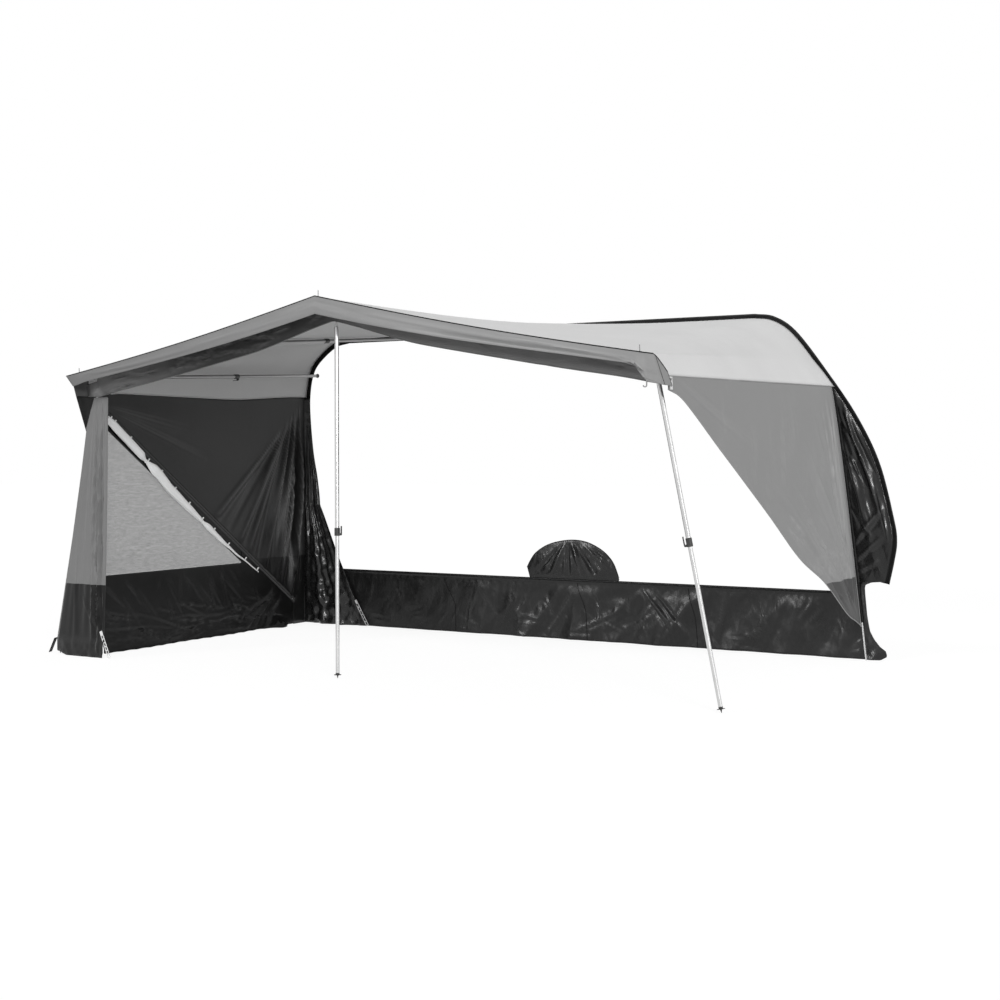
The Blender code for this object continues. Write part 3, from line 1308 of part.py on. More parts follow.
def add_corner_buckle():
    """The ladder-lock buckle on the outer face of the roof's right side, near the front corner."""
    half = BUCKLE_WIDTH / 2
    frame = [(-half, 0), (half, 0), (half, -BUCKLE_HEIGHT), (-half, -BUCKLE_HEIGHT)]
    slots = []
    for share in BUCKLE_SLOT_SHARES:
        top = -BUCKLE_HEIGHT * share
        wide = half - BUCKLE_RIM
        slots.append([(-wide, top), (wide, top), (wide, top - BUCKLE_SLOT), (-wide, top - BUCKLE_SLOT)])
    mesh = plate("corner_buckle", frame, BUCKLE_THICK / 2, slots)
    buckle = add_part("corner_buckle", mesh, WHITE_PLASTIC)
    near = BUCKLE_DEPTH - half
    top_x = right_wall_x(near, BUCKLE_TOP)
    low_x = right_wall_x(near, BUCKLE_TOP - BUCKLE_HEIGHT)
    seat = CLOTH / 2 + TOUCH + BUCKLE_THICK / 2
    buckle.location = (top_x + seat, -BUCKLE_DEPTH, BUCKLE_TOP)
    buckle.rotation_euler = (math.atan2(top_x - low_x, BUCKLE_HEIGHT), 0, math.pi / 2)


def add_corner_toggle(hem):
    """The J-shaped toggle hook that hangs from the lower edge of the valance, near its right end."""
    bend = circle(0.0, 0.0, TOGGLE_R + TOGGLE_HALF, 9, 0.0, -180.0)
    bend += circle(0.0, 0.0, TOGGLE_R - TOGGLE_HALF, 9, 180.0, 180.0)
    outline = [(TOGGLE_R + TOGGLE_HALF, TOGGLE_SHANK)] + bend + [(TOGGLE_R - TOGGLE_HALF, TOGGLE_SHANK)]
    mesh = plate("corner_toggle", outline, TOGGLE_HALF)
    toggle = add_part("corner_toggle", mesh, CLAMP_PLASTIC)
    touch_x = TOGGLE_X + TOGGLE_R + TOGGLE_HALF
    for a, b in zip(hem, hem[1:]):
        if a.x <= touch_x <= b.x:
            seat = a.lerp(b, (touch_x - a.x) / (b.x - a.x))
    toggle.location = (TOGGLE_X, seat.y, seat.z - TOUCH - TOGGLE_SHANK)


def centre_on_ground():
    """Moves the origin empty so that the footprint's middle, at ground height, is the world's origin."""
    bpy.context.view_layer.update()
    graph = bpy.context.evaluated_depsgraph_get()
    low = Vector((math.inf, math.inf, math.inf))
    high = -low
    for obj in PARTS.objects:
        if obj.type != "MESH":
            continue
        shape = obj.evaluated_get(graph)
        mesh = shape.to_mesh()
        for vertex in mesh.vertices:
            p = shape.matrix_world @ vertex.co
            for k in range(3):
                low[k] = min(low[k], p[k])
                high[k] = max(high[k], p[k])
        shape.to_mesh_clear()
    middle = (low + high) / 2
    ORIGIN.location = (-middle.x, -middle.y, -low.z)
    bpy.context.view_layer.update()
    print("origin moved by", tuple(round(c, 6) for c in ORIGIN.location))


def print_joints():
    for name, empty, axis in JOINT_NOTES:
        at = empty.matrix_world.translation
        along = (empty.matrix_world.to_3x3() @ axis).normalized()
        print("joint", name, [round(c, 6) for c in at], [round(c, 6) for c in along])


def main():
    add_roof()
    hem = add_valance()
    add_inner_strip()
    add_left_wall()
    add_left_panels()
    add_blind()
    add_left_wing()
    add_left_rear_panel()
    add_rail_band()
    add_skirt()
    add_arch_cover()
    add_right_wall()
    add_right_rear_panel()
    add_ladders()
    add_zip_slider()
    add_corner_buckle()
    add_corner_toggle(hem)
    add_rafter("left_rafter", -EDGE_RAFTER_X, CLAMP_DEPTH_EDGE, False)
    add_rafter("left_mid_rafter", -MID_RAFTER_X, CLAMP_DEPTH_MID, True)
    add_rafter("middle_rafter", PEAK_OFFSET, CLAMP_DEPTH_EDGE, False)
    add_rafter("right_mid_rafter", MID_RAFTER_X, CLAMP_DEPTH_MID, True)
    add_rafter("right_rafter", EDGE_RAFTER_X, CLAMP_DEPTH_EDGE, False)
    add_front_bar("left_front_bar", -1, 0.0)
    add_front_bar("right_front_bar", 1, BAR_STAGGER)
    add_leg("left_leg", -EDGE_RAFTER_X, -LEG_FOOT_HALF, 0.0)
    add_leg("middle_leg", PEAK_OFFSET, PEAK_OFFSET, 0.0)
    add_leg("right_leg", EDGE_RAFTER_X, LEG_FOOT_HALF, math.pi)
    centre_on_ground()
    print_joints()


main()
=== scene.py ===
# Caravan awning: the dressed model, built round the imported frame, with its materials, light and camera.
#
# Shapes are worked out in the awning's own frame: X is zero midway between the front corners, Y is zero at the
# caravan wall with the open front towards -Y, and Z is zero on the ground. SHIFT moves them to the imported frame.
# A depth is a distance in front of the caravan wall. Lengths are in metres.

import math

import bpy
import numpy as np
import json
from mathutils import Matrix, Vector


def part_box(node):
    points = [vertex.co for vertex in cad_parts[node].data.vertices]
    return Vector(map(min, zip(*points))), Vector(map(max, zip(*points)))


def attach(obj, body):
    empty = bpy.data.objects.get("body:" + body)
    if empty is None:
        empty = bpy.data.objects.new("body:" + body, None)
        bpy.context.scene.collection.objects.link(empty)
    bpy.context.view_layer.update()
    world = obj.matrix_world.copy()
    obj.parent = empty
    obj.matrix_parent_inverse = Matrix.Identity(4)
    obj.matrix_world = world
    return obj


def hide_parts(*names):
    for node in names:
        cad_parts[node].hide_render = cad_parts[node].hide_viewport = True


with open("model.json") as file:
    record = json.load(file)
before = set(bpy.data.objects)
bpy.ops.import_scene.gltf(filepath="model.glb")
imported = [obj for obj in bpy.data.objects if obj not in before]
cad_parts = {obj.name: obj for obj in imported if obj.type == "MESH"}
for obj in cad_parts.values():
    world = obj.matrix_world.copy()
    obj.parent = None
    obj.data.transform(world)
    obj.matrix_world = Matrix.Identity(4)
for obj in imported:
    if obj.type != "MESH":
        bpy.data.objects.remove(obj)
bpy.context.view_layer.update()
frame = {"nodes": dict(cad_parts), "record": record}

# The roof and the rail
DEPTH = 2.783
FRONT_HALF = 2.222
PEAK_X = -0.07
PEAK_Z = 2.42
TIP_Z = 1.98
RAIL_TOP = 2.425
RAIL_LEFT = 2.254
RAIL_RIGHT = 2.806
ROOF_SAG = 0.01
FRONT_SAG = 0.022
FOLD_RIGHT_REAR = 2.235
OUTER_RAFTER = 2.132
MID_RAFTER = 1.13
TUBE_R = 0.014
LEG_LINE = 2.555
STRIP_LINE = 2.6
CORNER_DEPTH = 0.11
# The left side
LEFT_FRONT_X = 2.236
WALL_FRONT = 2.44
ZIP_TOP = (2.38, 1.724)
ZIP_END = (0.206, 0.206)
ZIP_SLOPE = (ZIP_TOP[1] - ZIP_END[1]) / (ZIP_TOP[0] - ZIP_END[0])
ZIP_RISE = math.atan(ZIP_SLOPE)
MUD = 0.565
WING_FRONT = 2.606
WING_TURN = 2.522
WING_MEET = 2.576
WING_SEAM = (1.722, 1.57)
# The right side and the pieces along the caravan
RIGHT_SEAM_REAR = 2.385
RIGHT_TOP = 1.935
RIGHT_WALL_REAR = 0.03
SKIRT_TOP = 0.475
SKIRT_BEAD = 0.968
# Cloth
CLOTH = 0.002
SHEET = 0.0014
TOUCH = 0.0004
BAND_THICK = 0.006
REAR = BAND_THICK + TOUCH
SEAT = BAND_THICK + CLOTH / 2 + TOUCH
CREASE_BEND = 60
SEAM_LIFT = (0.0012, 0, 0)

# Outlines as shares of the rail's half widths and height, from the ends of its straight top down
RAIL_LEFT_SHARES = (
    (0.8, 1), (0.87, 0.985), (0.95, 0.93), (0.985, 0.878), (1, 0.8),
    (0.998, 0.715), (0.985, 0.6), (0.965, 0.5), (0.955, 0.4), (0.96, 0.225),
)
RAIL_RIGHT_SHARES = (
    (0.64, 1), (0.69, 0.99), (0.745, 0.945), (0.825, 0.825), (0.9, 0.697),
    (0.956, 0.565), (0.992, 0.408), (1, 0.345), (0.994, 0.29), (0.982, 0.223),
)
RAFTER_LINES = (-FRONT_HALF, -MID_RAFTER, PEAK_X, MID_RAFTER, FRONT_HALF)

foot_low, foot_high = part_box("middle_leg_foot")
SHIFT = np.array(((foot_low.x + foot_high.x) / 2 - PEAK_X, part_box("rail_band")[1].y, foot_low.z))


# Small numeric helpers
def mix(a, b, t):
    return a + (b - a) * t


def ramp(value, low, high):
    t = np.clip((value - low) / (high - low), 0, 1)
    return t * t * (3 - 2 * t)


def hump(t):
    """Half a wave: 1 midway, and 0 at 0, at 1 and beyond them."""
    return np.sin(math.pi * np.clip(t, 0, 1))


def bell(value, middle, width):
    return np.exp(-((value - middle) / width) ** 2)


def shares(count):
    """Even steps from 0 to 1, as a column."""
    return np.linspace(0, 1, count)[:, None]


def points(x, y, z):
    """An array of points from coordinates that may have different shapes."""
    return np.stack(np.broadcast_arrays(x, y, z), -1)


def unit(vectors):
    return vectors / np.maximum(np.linalg.norm(vectors, axis=-1, keepdims=True), 1e-9)


def spline(knots, count):
    """Evenly stepped points of a Catmull-Rom curve through the given ones."""
    pts = np.array(knots, float)
    pts = np.vstack([2 * pts[0] - pts[1], pts, 2 * pts[-1] - pts[-2]])
    place = np.linspace(0, len(pts) - 3, count)
    k = np.minimum(place.astype(int), len(pts) - 4)
    t = (place - k)[:, None]
    a, b, c, d = pts[k], pts[k + 1], pts[k + 2], pts[k + 3]
    return 0.5 * (2 * b + (c - a) * t + (2 * a - 5 * b + 4 * c - d) * t ** 2 + (3 * b - a - 3 * c + d) * t ** 3)


def eased(pairs, at):
    """Values read from a table of (place, value) pairs, eased between them."""
    out = np.full(at.shape, float(pairs[0][1]))
    for (x0, y0), (x1, y1) in zip(pairs, pairs[1:]):
        out = np.where((at > x0) & (at <= x1), mix(y0, y1, ramp(at, x0, x1)), out)
    return out


# The awning's outline
LEFT_RAIL = spline(RAIL_LEFT_SHARES, 61) * (-RAIL_LEFT, RAIL_TOP)
RIGHT_RAIL = spline(RAIL_RIGHT_SHARES, 61) * (RAIL_RIGHT, RAIL_TOP)


def rail_z(x):
    out = np.full(np.shape(x), RAIL_TOP)
    for outline, side in ((LEFT_RAIL, -1), (RIGHT_RAIL, 1)):
        top = int(np.argmax(np.abs(outline[:, 0]))) + 1
        found = np.interp(np.abs(x), np.abs(outline[:top, 0]), outline[:top, 1])
        out = np.where(np.sign(x) == side, found, out)
    return out


def rail_x(outline, height):
    return np.interp(-height, -outline[:, 1], outline[:, 0])


def front_z(x):
    end = np.where(x < PEAK_X, -FRONT_HALF, FRONT_HALF)
    u = np.clip((x - end) / (PEAK_X - end), 0, 1)
    return mix(TIP_Z, PEAK_Z, u) - FRONT_SAG * hump(u)


def roof_z(x, depth):
    t = depth / DEPTH
    sag = sum(hump((x - low) / (high - low)) ** 2 for low, high in zip(RAFTER_LINES, RAFTER_LINES[1:]))
    return mix(rail_z(x), front_z(x), t) - ROOF_SAG * sag * 4 * t * (1 - t)


def left_x(depth):
    return -mix(RAIL_LEFT, LEFT_FRONT_X, depth / DEPTH)


def seam_left(depth):
    near = mix(1.885, 1.845, ramp(depth, DEPTH * 0.8, WING_FRONT))
    return mix(1.94, near, ramp(depth, 0, DEPTH * 0.4))


def seam_right(depth):
    return mix(1.918, 1.863, depth / DEPTH)


def right_seam_x(depth):
    return mix(RIGHT_SEAM_REAR, 2.262, depth / DEPTH)


def left_side_depth(depth, z):
    """Depths in the left side: in front of the leg, its edge leans back below the corner."""
    edge = DEPTH * np.interp(z / TIP_Z, (0, 0.793, 0.924, 0.976, 1), (0.9, 0.926, 0.961, 0.977, 1))
    front = mix(LEG_LINE, edge, (depth - LEG_LINE) / (DEPTH - LEG_LINE))
    return np.where(depth <= LEG_LINE, np.maximum(depth, REAR), front)


def right_side_x(depth, z):
    fold_x = mix(FOLD_RIGHT_REAR, FRONT_HALF, depth / DEPTH)
    fold_z = mix(rail_z(np.float64(FOLD_RIGHT_REAR)), TIP_Z, depth / DEPTH)
    return mix(fold_x, right_seam_x(depth), (fold_z - z) / (fold_z - seam_right(depth)))


def right_rear_x(height):
    return mix(RIGHT_SEAM_REAR, 2.64, np.clip(1 - height / RIGHT_TOP, 0, 1) ** 0.85)


RIGHT_WALL_FRONT = DEPTH - CORNER_DEPTH + CLOTH


def right_wall_x(depth, z):
    s = (RIGHT_WALL_FRONT - depth) / (RIGHT_WALL_FRONT - RIGHT_WALL_REAR)
    spread = right_rear_x(z) - right_rear_x(seam_right(depth))
    return right_seam_x(depth) + spread * ramp(s, -0.4, 1)


def zip_z(depth):
    return mix(ZIP_TOP[1], ZIP_END[1], (ZIP_TOP[0] - depth) / (ZIP_TOP[0] - ZIP_END[0]))


def wing_seam_z(depth):
    return mix(*WING_SEAM, (depth - WALL_FRONT) / (WING_MEET - WALL_FRONT))


def on_left(depth, z):
    """Points in the flat of the left side."""
    return points(left_x(depth), -depth, z)


# Cloth helpers: grids of points, their folds and their meshes
def normals(grid):
    return unit(np.cross(np.gradient(grid, axis=1), np.gradient(grid, axis=0)))


def measured(grid):
    """Distances in metres along and down a grid, as two arrays of its own shape."""
    u = np.linalg.norm(np.diff(grid, axis=1, prepend=grid[:, :1]), axis=2)
    v = np.linalg.norm(np.diff(grid, axis=0, prepend=grid[:1]), axis=2)
    return np.cumsum(u, 1), np.cumsum(v, 0)


def creases(a, b, lines):
    """Soft ridges along lines (a0, b0, a1, b1, width, height) in the plane of two coordinates. Widths and heights
    are in thousandths."""
    out = np.zeros(a.shape)
    for a0, b0, a1, b1, width, height in lines:
        da, db = a1 - a0, b1 - b0
        length = math.hypot(da, db)
        t = ((a - a0) * da + (b - b0) * db) / length ** 2
        d = ((a - a0) * db - (b - b0) * da) / length
        q = d / (width / 1000 * (0.5 + 0.8 * np.clip(t, 0, 1)))
        out += height / 1000 * hump(t) ** 0.8 * (np.exp(-q * q) - 0.45 * np.exp(-(q - 1.6) ** 2))
    return out


def random_creases(count, a_range, b_range, angle, spread, length, width, height, seed):
    """Random lines for creases(), round one main direction in degrees."""
    rng = np.random.default_rng(seed)
    lines = []
    for _ in range(count):
        a0, b0 = rng.uniform(*a_range), rng.uniform(*b_range)
        turn = math.radians(rng.normal(angle, spread))
        reach = length * rng.uniform(0.5, 1.5)
        size = height * rng.uniform(0.3, 1) * rng.choice((-1, 1))
        lines.append((a0, b0, a0 + reach * math.cos(turn), b0 + reach * math.sin(turn),
                      width * rng.uniform(0.6, 1.5), size))
    return lines


def facets(a, b, scale, seed, stretch=1, turn=0):
    """Heights, about -0.5 to 0.5, of sheet crumpled into facets: the distance to the nearest of random points."""
    rng = np.random.default_rng(seed)
    turn = math.radians(turn)
    c, d = math.cos(turn), math.sin(turn)
    p, q = (a * c + b * d) / (scale * stretch), (b * c - a * d) / scale
    cells = [np.arange(math.floor(v.min()) - 1, math.ceil(v.max()) + 1) for v in (p, q)]
    grid_p, grid_q = [cell + rng.uniform(0, 1, cell.shape) for cell in np.meshgrid(*cells)]
    best = np.full(p.shape, 9.0)
    for x, y in zip(grid_p.ravel(), grid_q.ravel()):
        best = np.minimum(best, np.hypot(p - x, q - y))
    return best - 0.5


def ridges(grid):
    """How sharply a grid is creased at each point, 0 to 1."""
    bend = np.zeros(grid.shape[:2])
    here = grid[1:-1, 1:-1]
    n = normals(grid)[1:-1, 1:-1]
    for ahead, back in ((grid[2:, 1:-1], grid[:-2, 1:-1]), (grid[1:-1, 2:], grid[1:-1, :-2])):
        step = np.maximum(np.linalg.norm(ahead - back, axis=2) / 2, 0.004)
        bend[1:-1, 1:-1] += np.abs((((ahead + back) / 2 - here) * n).sum(2)) / step ** 2
    return np.clip(bend / CREASE_BEND, 0, 1)


def displaced(grid, amount):
    return grid + normals(grid) * amount[..., None]


def add_object(name, verts, faces, materials, replaces=()):
    """A smooth-shaded piece on the canopy, from points in the awning's own frame."""
    mesh = bpy.data.meshes.new(name)
    mesh.from_pydata((verts + SHIFT).reshape(-1, 3).tolist(), [], faces)
    obj = bpy.data.objects.new(name, mesh)
    bpy.context.scene.collection.objects.link(obj)
    for material in materials:
        mesh.materials.append(material)
    mesh.shade_smooth()
    mesh.set_sharp_from_angle(angle=math.radians(50))
    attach(obj, "canopy")
    if replaces:
        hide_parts(*replaces)
    return obj


def sheet(name, grid, materials, replaces=(), thickness=SHEET, looks=None):
    """A sheet of cloth through a grid of points, with UVs in metres and a real thickness. A sheet with looks, which
    give each face its material, has the next material on its other side."""
    rows, columns = grid.shape[:2]
    u, v = measured(grid)
    u, v = np.broadcast_to(u.mean(0), u.shape), np.broadcast_to(v.mean(1)[:, None], v.shape)
    index = np.arange(rows * columns).reshape(rows, columns)
    corners = (index[:-1, :-1], index[:-1, 1:], index[1:, 1:], index[1:, :-1])
    faces = np.stack(corners if looks is None else corners[::-1], -1).reshape(-1, 4)
    obj = add_object(name, grid, faces.tolist(), materials, replaces)
    mesh = obj.data
    uv = np.stack([u.ravel(), v.ravel()], -1)[faces.ravel()]
    mesh.uv_layers.new(name="metres").data.foreach_set("uv", uv.astype(np.float32).ravel())
    mesh.attributes.new("ridge", "FLOAT", "POINT").data.foreach_set("value", ridges(grid).ravel().astype(np.float32))
    solid = obj.modifiers.new("thickness", "SOLIDIFY")
    solid.thickness = thickness
    solid.offset = 0
    if looks is not None:
        mesh.polygons.foreach_set("material_index", looks.ravel().astype(np.int32))
        solid.material_offset = 1
        solid.material_offset_rim = 0
    return obj


def tube(name, line, radius, material, sides=6):
    """A round cord or bead along a line of points; radius may be one value or one for each point."""
    line = np.asarray(line, float)
    along = unit(np.gradient(line, axis=0))
    side = np.cross(along[0], (0, 0, 1))
    if np.linalg.norm(side) < 0.1:
        side = np.cross(along[0], (0, 1, 0))
    turn = np.arange(sides) * 2 * math.pi / sides
    rings = []
    for p, d, r in zip(line, along, np.broadcast_to(radius, len(line))):
        side = unit(side - d * side.dot(d))
        rings.append(p + r * (np.cos(turn)[:, None] * side + np.sin(turn)[:, None] * np.cross(d, side)))
    add_object(name, np.vstack(rings), ring_faces(len(line), sides), [material])


def ring_faces(rings, sides):
    """Faces of a closed tube of rings of points, with its two ends."""
    faces = []
    for i in range(rings - 1):
        for k in range(sides):
            a, b = i * sides + k, i * sides + (k + 1) % sides
            faces.append((a, a + sides, b + sides, b))
    return faces + [tuple(range(sides)), tuple((rings - 1) * sides + k for k in reversed(range(sides)))]


def tape(name, centre, across, half, lift, material, thickness=0.0012):
    """A flat tape along a line: across and lift are unit vectors towards its edge and its face."""
    across, lift = np.array(across), np.array(lift)
    grid = np.stack([centre + across * half * s + lift * thickness * 0.3 * (1 - s * s) for s in (-1, 0, 1)])
    sheet(name, grid, [material], thickness=thickness)


# Materials, from short calls that each give back an output. A socket's id_data is the tree that it is in.
def feed(socket, value):
    """Links an output to a socket, or sets a plain value on it."""
    if isinstance(value, bpy.types.NodeSocket):
        socket.id_data.links.new(value, socket)
    else:
        socket.default_value = value


def fill(made, **values):
    """Sets a node's own settings and feeds its sockets, which are named with _ for a space."""
    for key, value in values.items():
        if hasattr(made, key):
            setattr(made, key, value)
        else:
            feed(made.inputs[key.replace("_", " ")], value)
    return made


def node(tree, kind, **values):
    return fill(tree.nodes.new("ShaderNode" + kind), **values)


def tree_of(name):
    material = bpy.data.materials.new(name)
    material.use_nodes = True
    tree = material.node_tree
    return material, tree, tree.nodes["Principled BSDF"]


def shade(value):
    return (value, value, value, 1)


def spot_on(tree, space="Object"):
    return node(tree, "TexCoord").outputs[space]


def split(place):
    return node(place.id_data, "SeparateXYZ", Vector=place).outputs


def stretched(place, scale, turn=(0, 0, 0)):
    return node(place.id_data, "Mapping", Vector=place, Scale=scale, Rotation=turn).outputs[0]


def noise(place, scale, detail=3, roughness=0.5):
    made = node(place.id_data, "TexNoise", Vector=place, Scale=scale, Detail=detail, Roughness=roughness)
    return made.outputs["Fac"]


def math_node(operation, *values):
    made = node(values[0].id_data, "Math", operation=operation)
    for socket, value in zip(made.inputs, values):
        feed(socket, value)
    return made.outputs[0]


def times(a, b):
    return math_node("MULTIPLY", a, b)


def plus(a, b):
    return math_node("ADD", a, b)


def weighed(a, share_a, b, share_b):
    return plus(times(a, share_a), times(b, share_b))


def mapped(value, start, end, low=0, high=1, kind="SMOOTHSTEP"):
    made = node(value.id_data, "MapRange", interpolation_type=kind, Value=value)
    return fill(made, From_Min=start, From_Max=end, To_Min=low, To_Max=high).outputs["Result"]


def grey_ramp(fac, low, high, start=0.3, end=0.7):
    made = node(fac.id_data, "ValToRGB", Fac=fac)
    for element, place, value in zip(made.color_ramp.elements, (start, end), (low, high)):
        element.position = place
        element.color = shade(value)
    return made.outputs["Color"]


def blended(share, first, second):
    made = node(share.id_data, "Mix", data_type="RGBA", Factor=share)
    for index, colour in ((6, first), (7, second)):
        feed(made.inputs[index], colour)
    return made.outputs[2]


def creased(colour, light, amount):
    """The colour, paler along the sheet's sharp creases: partly whitening of the coating, partly painted highlight.
    """
    ridge = node(colour.id_data, "Attribute", attribute_name="ridge").outputs["Fac"]
    return blended(times(ridge, amount), colour, shade(light))


def bumped(height, strength, distance):
    return node(height.id_data, "Bump", Strength=strength, Distance=distance, Height=height).outputs["Normal"]


def cloth_look(name, grey, rough=0.82, sheen=0.15, wear=0.1, crinkle=0.25, band=None, gloss=0.3, crest=None,
               painted_shade_grade=None):
    """Coated tent cloth: woven bump, soft mottling and fine handling creases. band is (z, slope, grey, roughness)
    for cloth that is another colour below a seam, with the slope of the seam's height along Y. The last argument, a
    grade, scales the colour along X as painted shade: (left, right, scale at left, scale at right)."""
    material, tree, shader = tree_of(name)
    spot = spot_on(tree)
    large = noise(spot, 2.3, 4, 0.55)
    blend = weighed(large, 0.75, noise(spot, 90, 2), 0.25)
    colour = grey_ramp(blend, grey * (1 - wear), grey * (1 + wear * 0.7))
    # Paler creases: partly crease whitening, partly painted highlight on the folds.
    colour = creased(colour, crest or min(grey * 1.9 + 0.02, 0.85), 0.35)
    roughness = grey_ramp(large, rough - 0.07, min(rough + 0.06, 1))
    if band:
        height, slope, low_grey, low_rough = band
        along = split(spot)
        seam = plus(times(along["Y"], slope), height + float(SHIFT[2] - slope * SHIFT[1]))
        below = math_node("LESS_THAN", along["Z"], seam)
        low_colour = grey_ramp(blend, low_grey * (1 - wear), low_grey * (1 + wear))
        colour = blended(below, colour, low_colour)
        roughness = blended(below, roughness, shade(low_rough))
    if painted_shade_grade:
        share = mapped(split(spot)["X"], *painted_shade_grade, "LINEAR")
        colour = node(tree, "VectorMath", operation="SCALE", Vector=colour, Scale=share).outputs[0]
    uv = spot_on(tree, "UV")
    threads = [node(tree, "TexWave", bands_direction=way, Vector=uv, Scale=170, Distortion=0.6) for way in "XY"]
    weave = times(threads[0].outputs["Fac"], threads[1].outputs["Fac"])
    height = plus(times(weave, 0.06), noise(spot, 9, 5, 0.6))
    fill(shader, Base_Color=colour, Roughness=roughness, Sheen_Weight=sheen, Specular_IOR_Level=gloss,
         Normal=bumped(height, crinkle, 0.012))
    return material


def pvc_look(name, grey, rough, crinkle, scale, gloss):
    """Glossy coated sheet: creased all over, with a little ground dust in its duller patches."""
    material, tree, shader = tree_of(name)
    spot = spot_on(tree)
    blend = weighed(noise(spot, 3.1, 4, 0.6), 0.6, noise(spot, 38, 4, 0.6), 0.4)
    colour = creased(grey_ramp(blend, grey * 0.7, grey * 1.5), 0.07, 0.4)
    height = times(noise(spot, scale * 5, 3, 0.6), 0.06)
    tall = stretched(spot, (1, 1, 0.6))
    for size, share in ((scale * 0.45, 2), (scale * 1.1, 0.9), (scale * 2.6, 0.35)):
        ridge = math_node("SUBTRACT", noise(tall, size, 1), 0.5)
        height = plus(height, times(math_node("ABSOLUTE", ridge), share))
    fill(shader, Base_Color=colour, Roughness=grey_ramp(blend, rough * 0.8, min(rough * 1.5, 1)),
         Specular_IOR_Level=gloss, Normal=bumped(height, crinkle, 0.016))
    return material


def foil_look(name):
    """Tinted window foil with fine scratches; it lets the light through."""
    material, tree, shader = tree_of(name)
    spot = spot_on(tree)
    haze = noise(stretched(spot, (1, 0.35, 2), (-0.75, 0, 0)), 52, 6, 0.7)
    fill(shader, Base_Color=grey_ramp(haze, 0.12, 0.2), Roughness=0.22,
         Alpha=grey_ramp(haze, 0.455, 0.59, 0.36, 0.64),
         Normal=bumped(noise(spot, 45, 3, 0.6), 0.08, 0.004))
    return material


def metal_look(name, grey, rough, grain):
    """Drawn or plated metal with fine marks along it."""
    material, tree, shader = tree_of(name)
    spot = spot_on(tree)
    marks = noise(stretched(spot, grain), 60, 3, 0.6)
    fill(shader, Base_Color=grey_ramp(noise(spot, 7), grey * 0.88, grey), Metallic=1,
         Roughness=grey_ramp(marks, rough * 0.95, rough * 1.06), Normal=bumped(marks, 0.006, 0.0003))
    return material


def plastic_look(name, grey, rough):
    """Moulded plastic with a fine spark-eroded grain and paler worn patches."""
    material, tree, shader = tree_of(name)
    spot = spot_on(tree)
    patches = noise(spot, 24)
    fill(shader, Base_Color=grey_ramp(patches, grey * 0.85, grey * 1.1),
         Roughness=grey_ramp(patches, rough * 0.85, rough * 1.2),
         Normal=bumped(noise(spot, 900, 2), 0.15, 0.0004))
    return material


def strip_look(name):
    """The inner strip, in the sheet's UVs: dark left of the peak, and paler right of it below a dark upper edge; the
    paler part is painted light and the dark edge is the valance's painted shadow.
    """
    material, tree, shader = tree_of(name)
    spot = spot_on(tree)
    flat = split(spot_on(tree, "UV"))
    # Painted light and shade: right of the peak the lower part is made pale as if lit, under a band of painted
    # shadow.
    right = times(mapped(flat["X"], 1.9, 2.6), mapped(flat["Y"], 0.035, 0.085))
    pale = plus(times(right, 0.72), mapped(flat["X"], 0.1, 1.25, 0.85, 0))
    grey = plus(times(pale, 0.17), 0.042)
    grey = times(grey, plus(times(noise(spot, 6, 4), 0.4), 0.8))
    fill(shader, Base_Color=creased(grey, 0.17, 0.5), Roughness=0.6, Specular_IOR_Level=0.2,
         Normal=bumped(noise(spot, 14, 5, 0.6), 0.3, 0.01))
    return material


ROOF_OUT = cloth_look("roof_outside", 0.7, crinkle=0.12, wear=0.05)
ROOF_IN = cloth_look("roof_inside", 0.6, crinkle=0.14, wear=0.05)
GREY = cloth_look("grey_cloth_look", 0.31, crinkle=0.16, wear=0.07)
# Painted shade: the valance's colour is scaled darker towards its left end.
VALANCE = cloth_look("valance_look", 0.3, crinkle=0.2, wear=0.08, painted_shade_grade=(-2.2, 0.3, 0.53, 0.87))
# The crest colours paint the folds of the left wall and the wing pale along their creases: partly crease whitening,
# partly painted highlight.
DARK = cloth_look("dark_cloth_look", 0.012, rough=0.38, sheen=0.05, crinkle=0.12, wear=0.15,
                      band=(0.583, -0.006, 0.005, 0.34), gloss=0.21, crest=0.26)
# Painted shade: a dark cloth for the left front corner's faces, where the roof's cloth lies in shade.
CORNER_SHADE = cloth_look("corner_painted_shade_look", 0.085, crinkle=0.2, wear=0.12)
WING = cloth_look("wing_look", 0.172, crinkle=0.2, wear=0.08, band=(0.517, 0, 0.008, 0.5), gloss=0.17,
                      crest=0.23)
RIGHT = cloth_look("right_wall_look", 0.255, crinkle=0.14, wear=0.05, band=(0.585, 0.02, 0.058, 0.6))
MUD_PVC = cloth_look("mud_panel_look", 0.0065, rough=0.36, sheen=0, crinkle=0.22, wear=0.25, gloss=0.17)
SKIRT = pvc_look("skirt_look", 0.009, rough=0.29, crinkle=0.34, scale=9, gloss=0.31)
GLOSS = pvc_look("gloss_look", 0.007, rough=0.22, crinkle=0.32, scale=12, gloss=0.36)
BAND = pvc_look("band_look", 0.006, rough=0.32, crinkle=0.1, scale=30, gloss=0.15)
PIPING = cloth_look("piping_look", 0.012, rough=0.6, sheen=0, crinkle=0.05, gloss=0.12)
TAPE = cloth_look("zip_tape_look", 0.058, rough=0.7, sheen=0.05, crinkle=0.1, gloss=0.15)
FOIL = foil_look("window_look")
BLIND = cloth_look("blind_look", 0.86, crinkle=0.22, wear=0.05)
TIE = cloth_look("tie_look", 0.82, crinkle=0.05)
STRIP = strip_look("strip_look")
ALUMINIUM = metal_look("aluminium_look", 0.62, 0.28, (1, 1, 0.05))
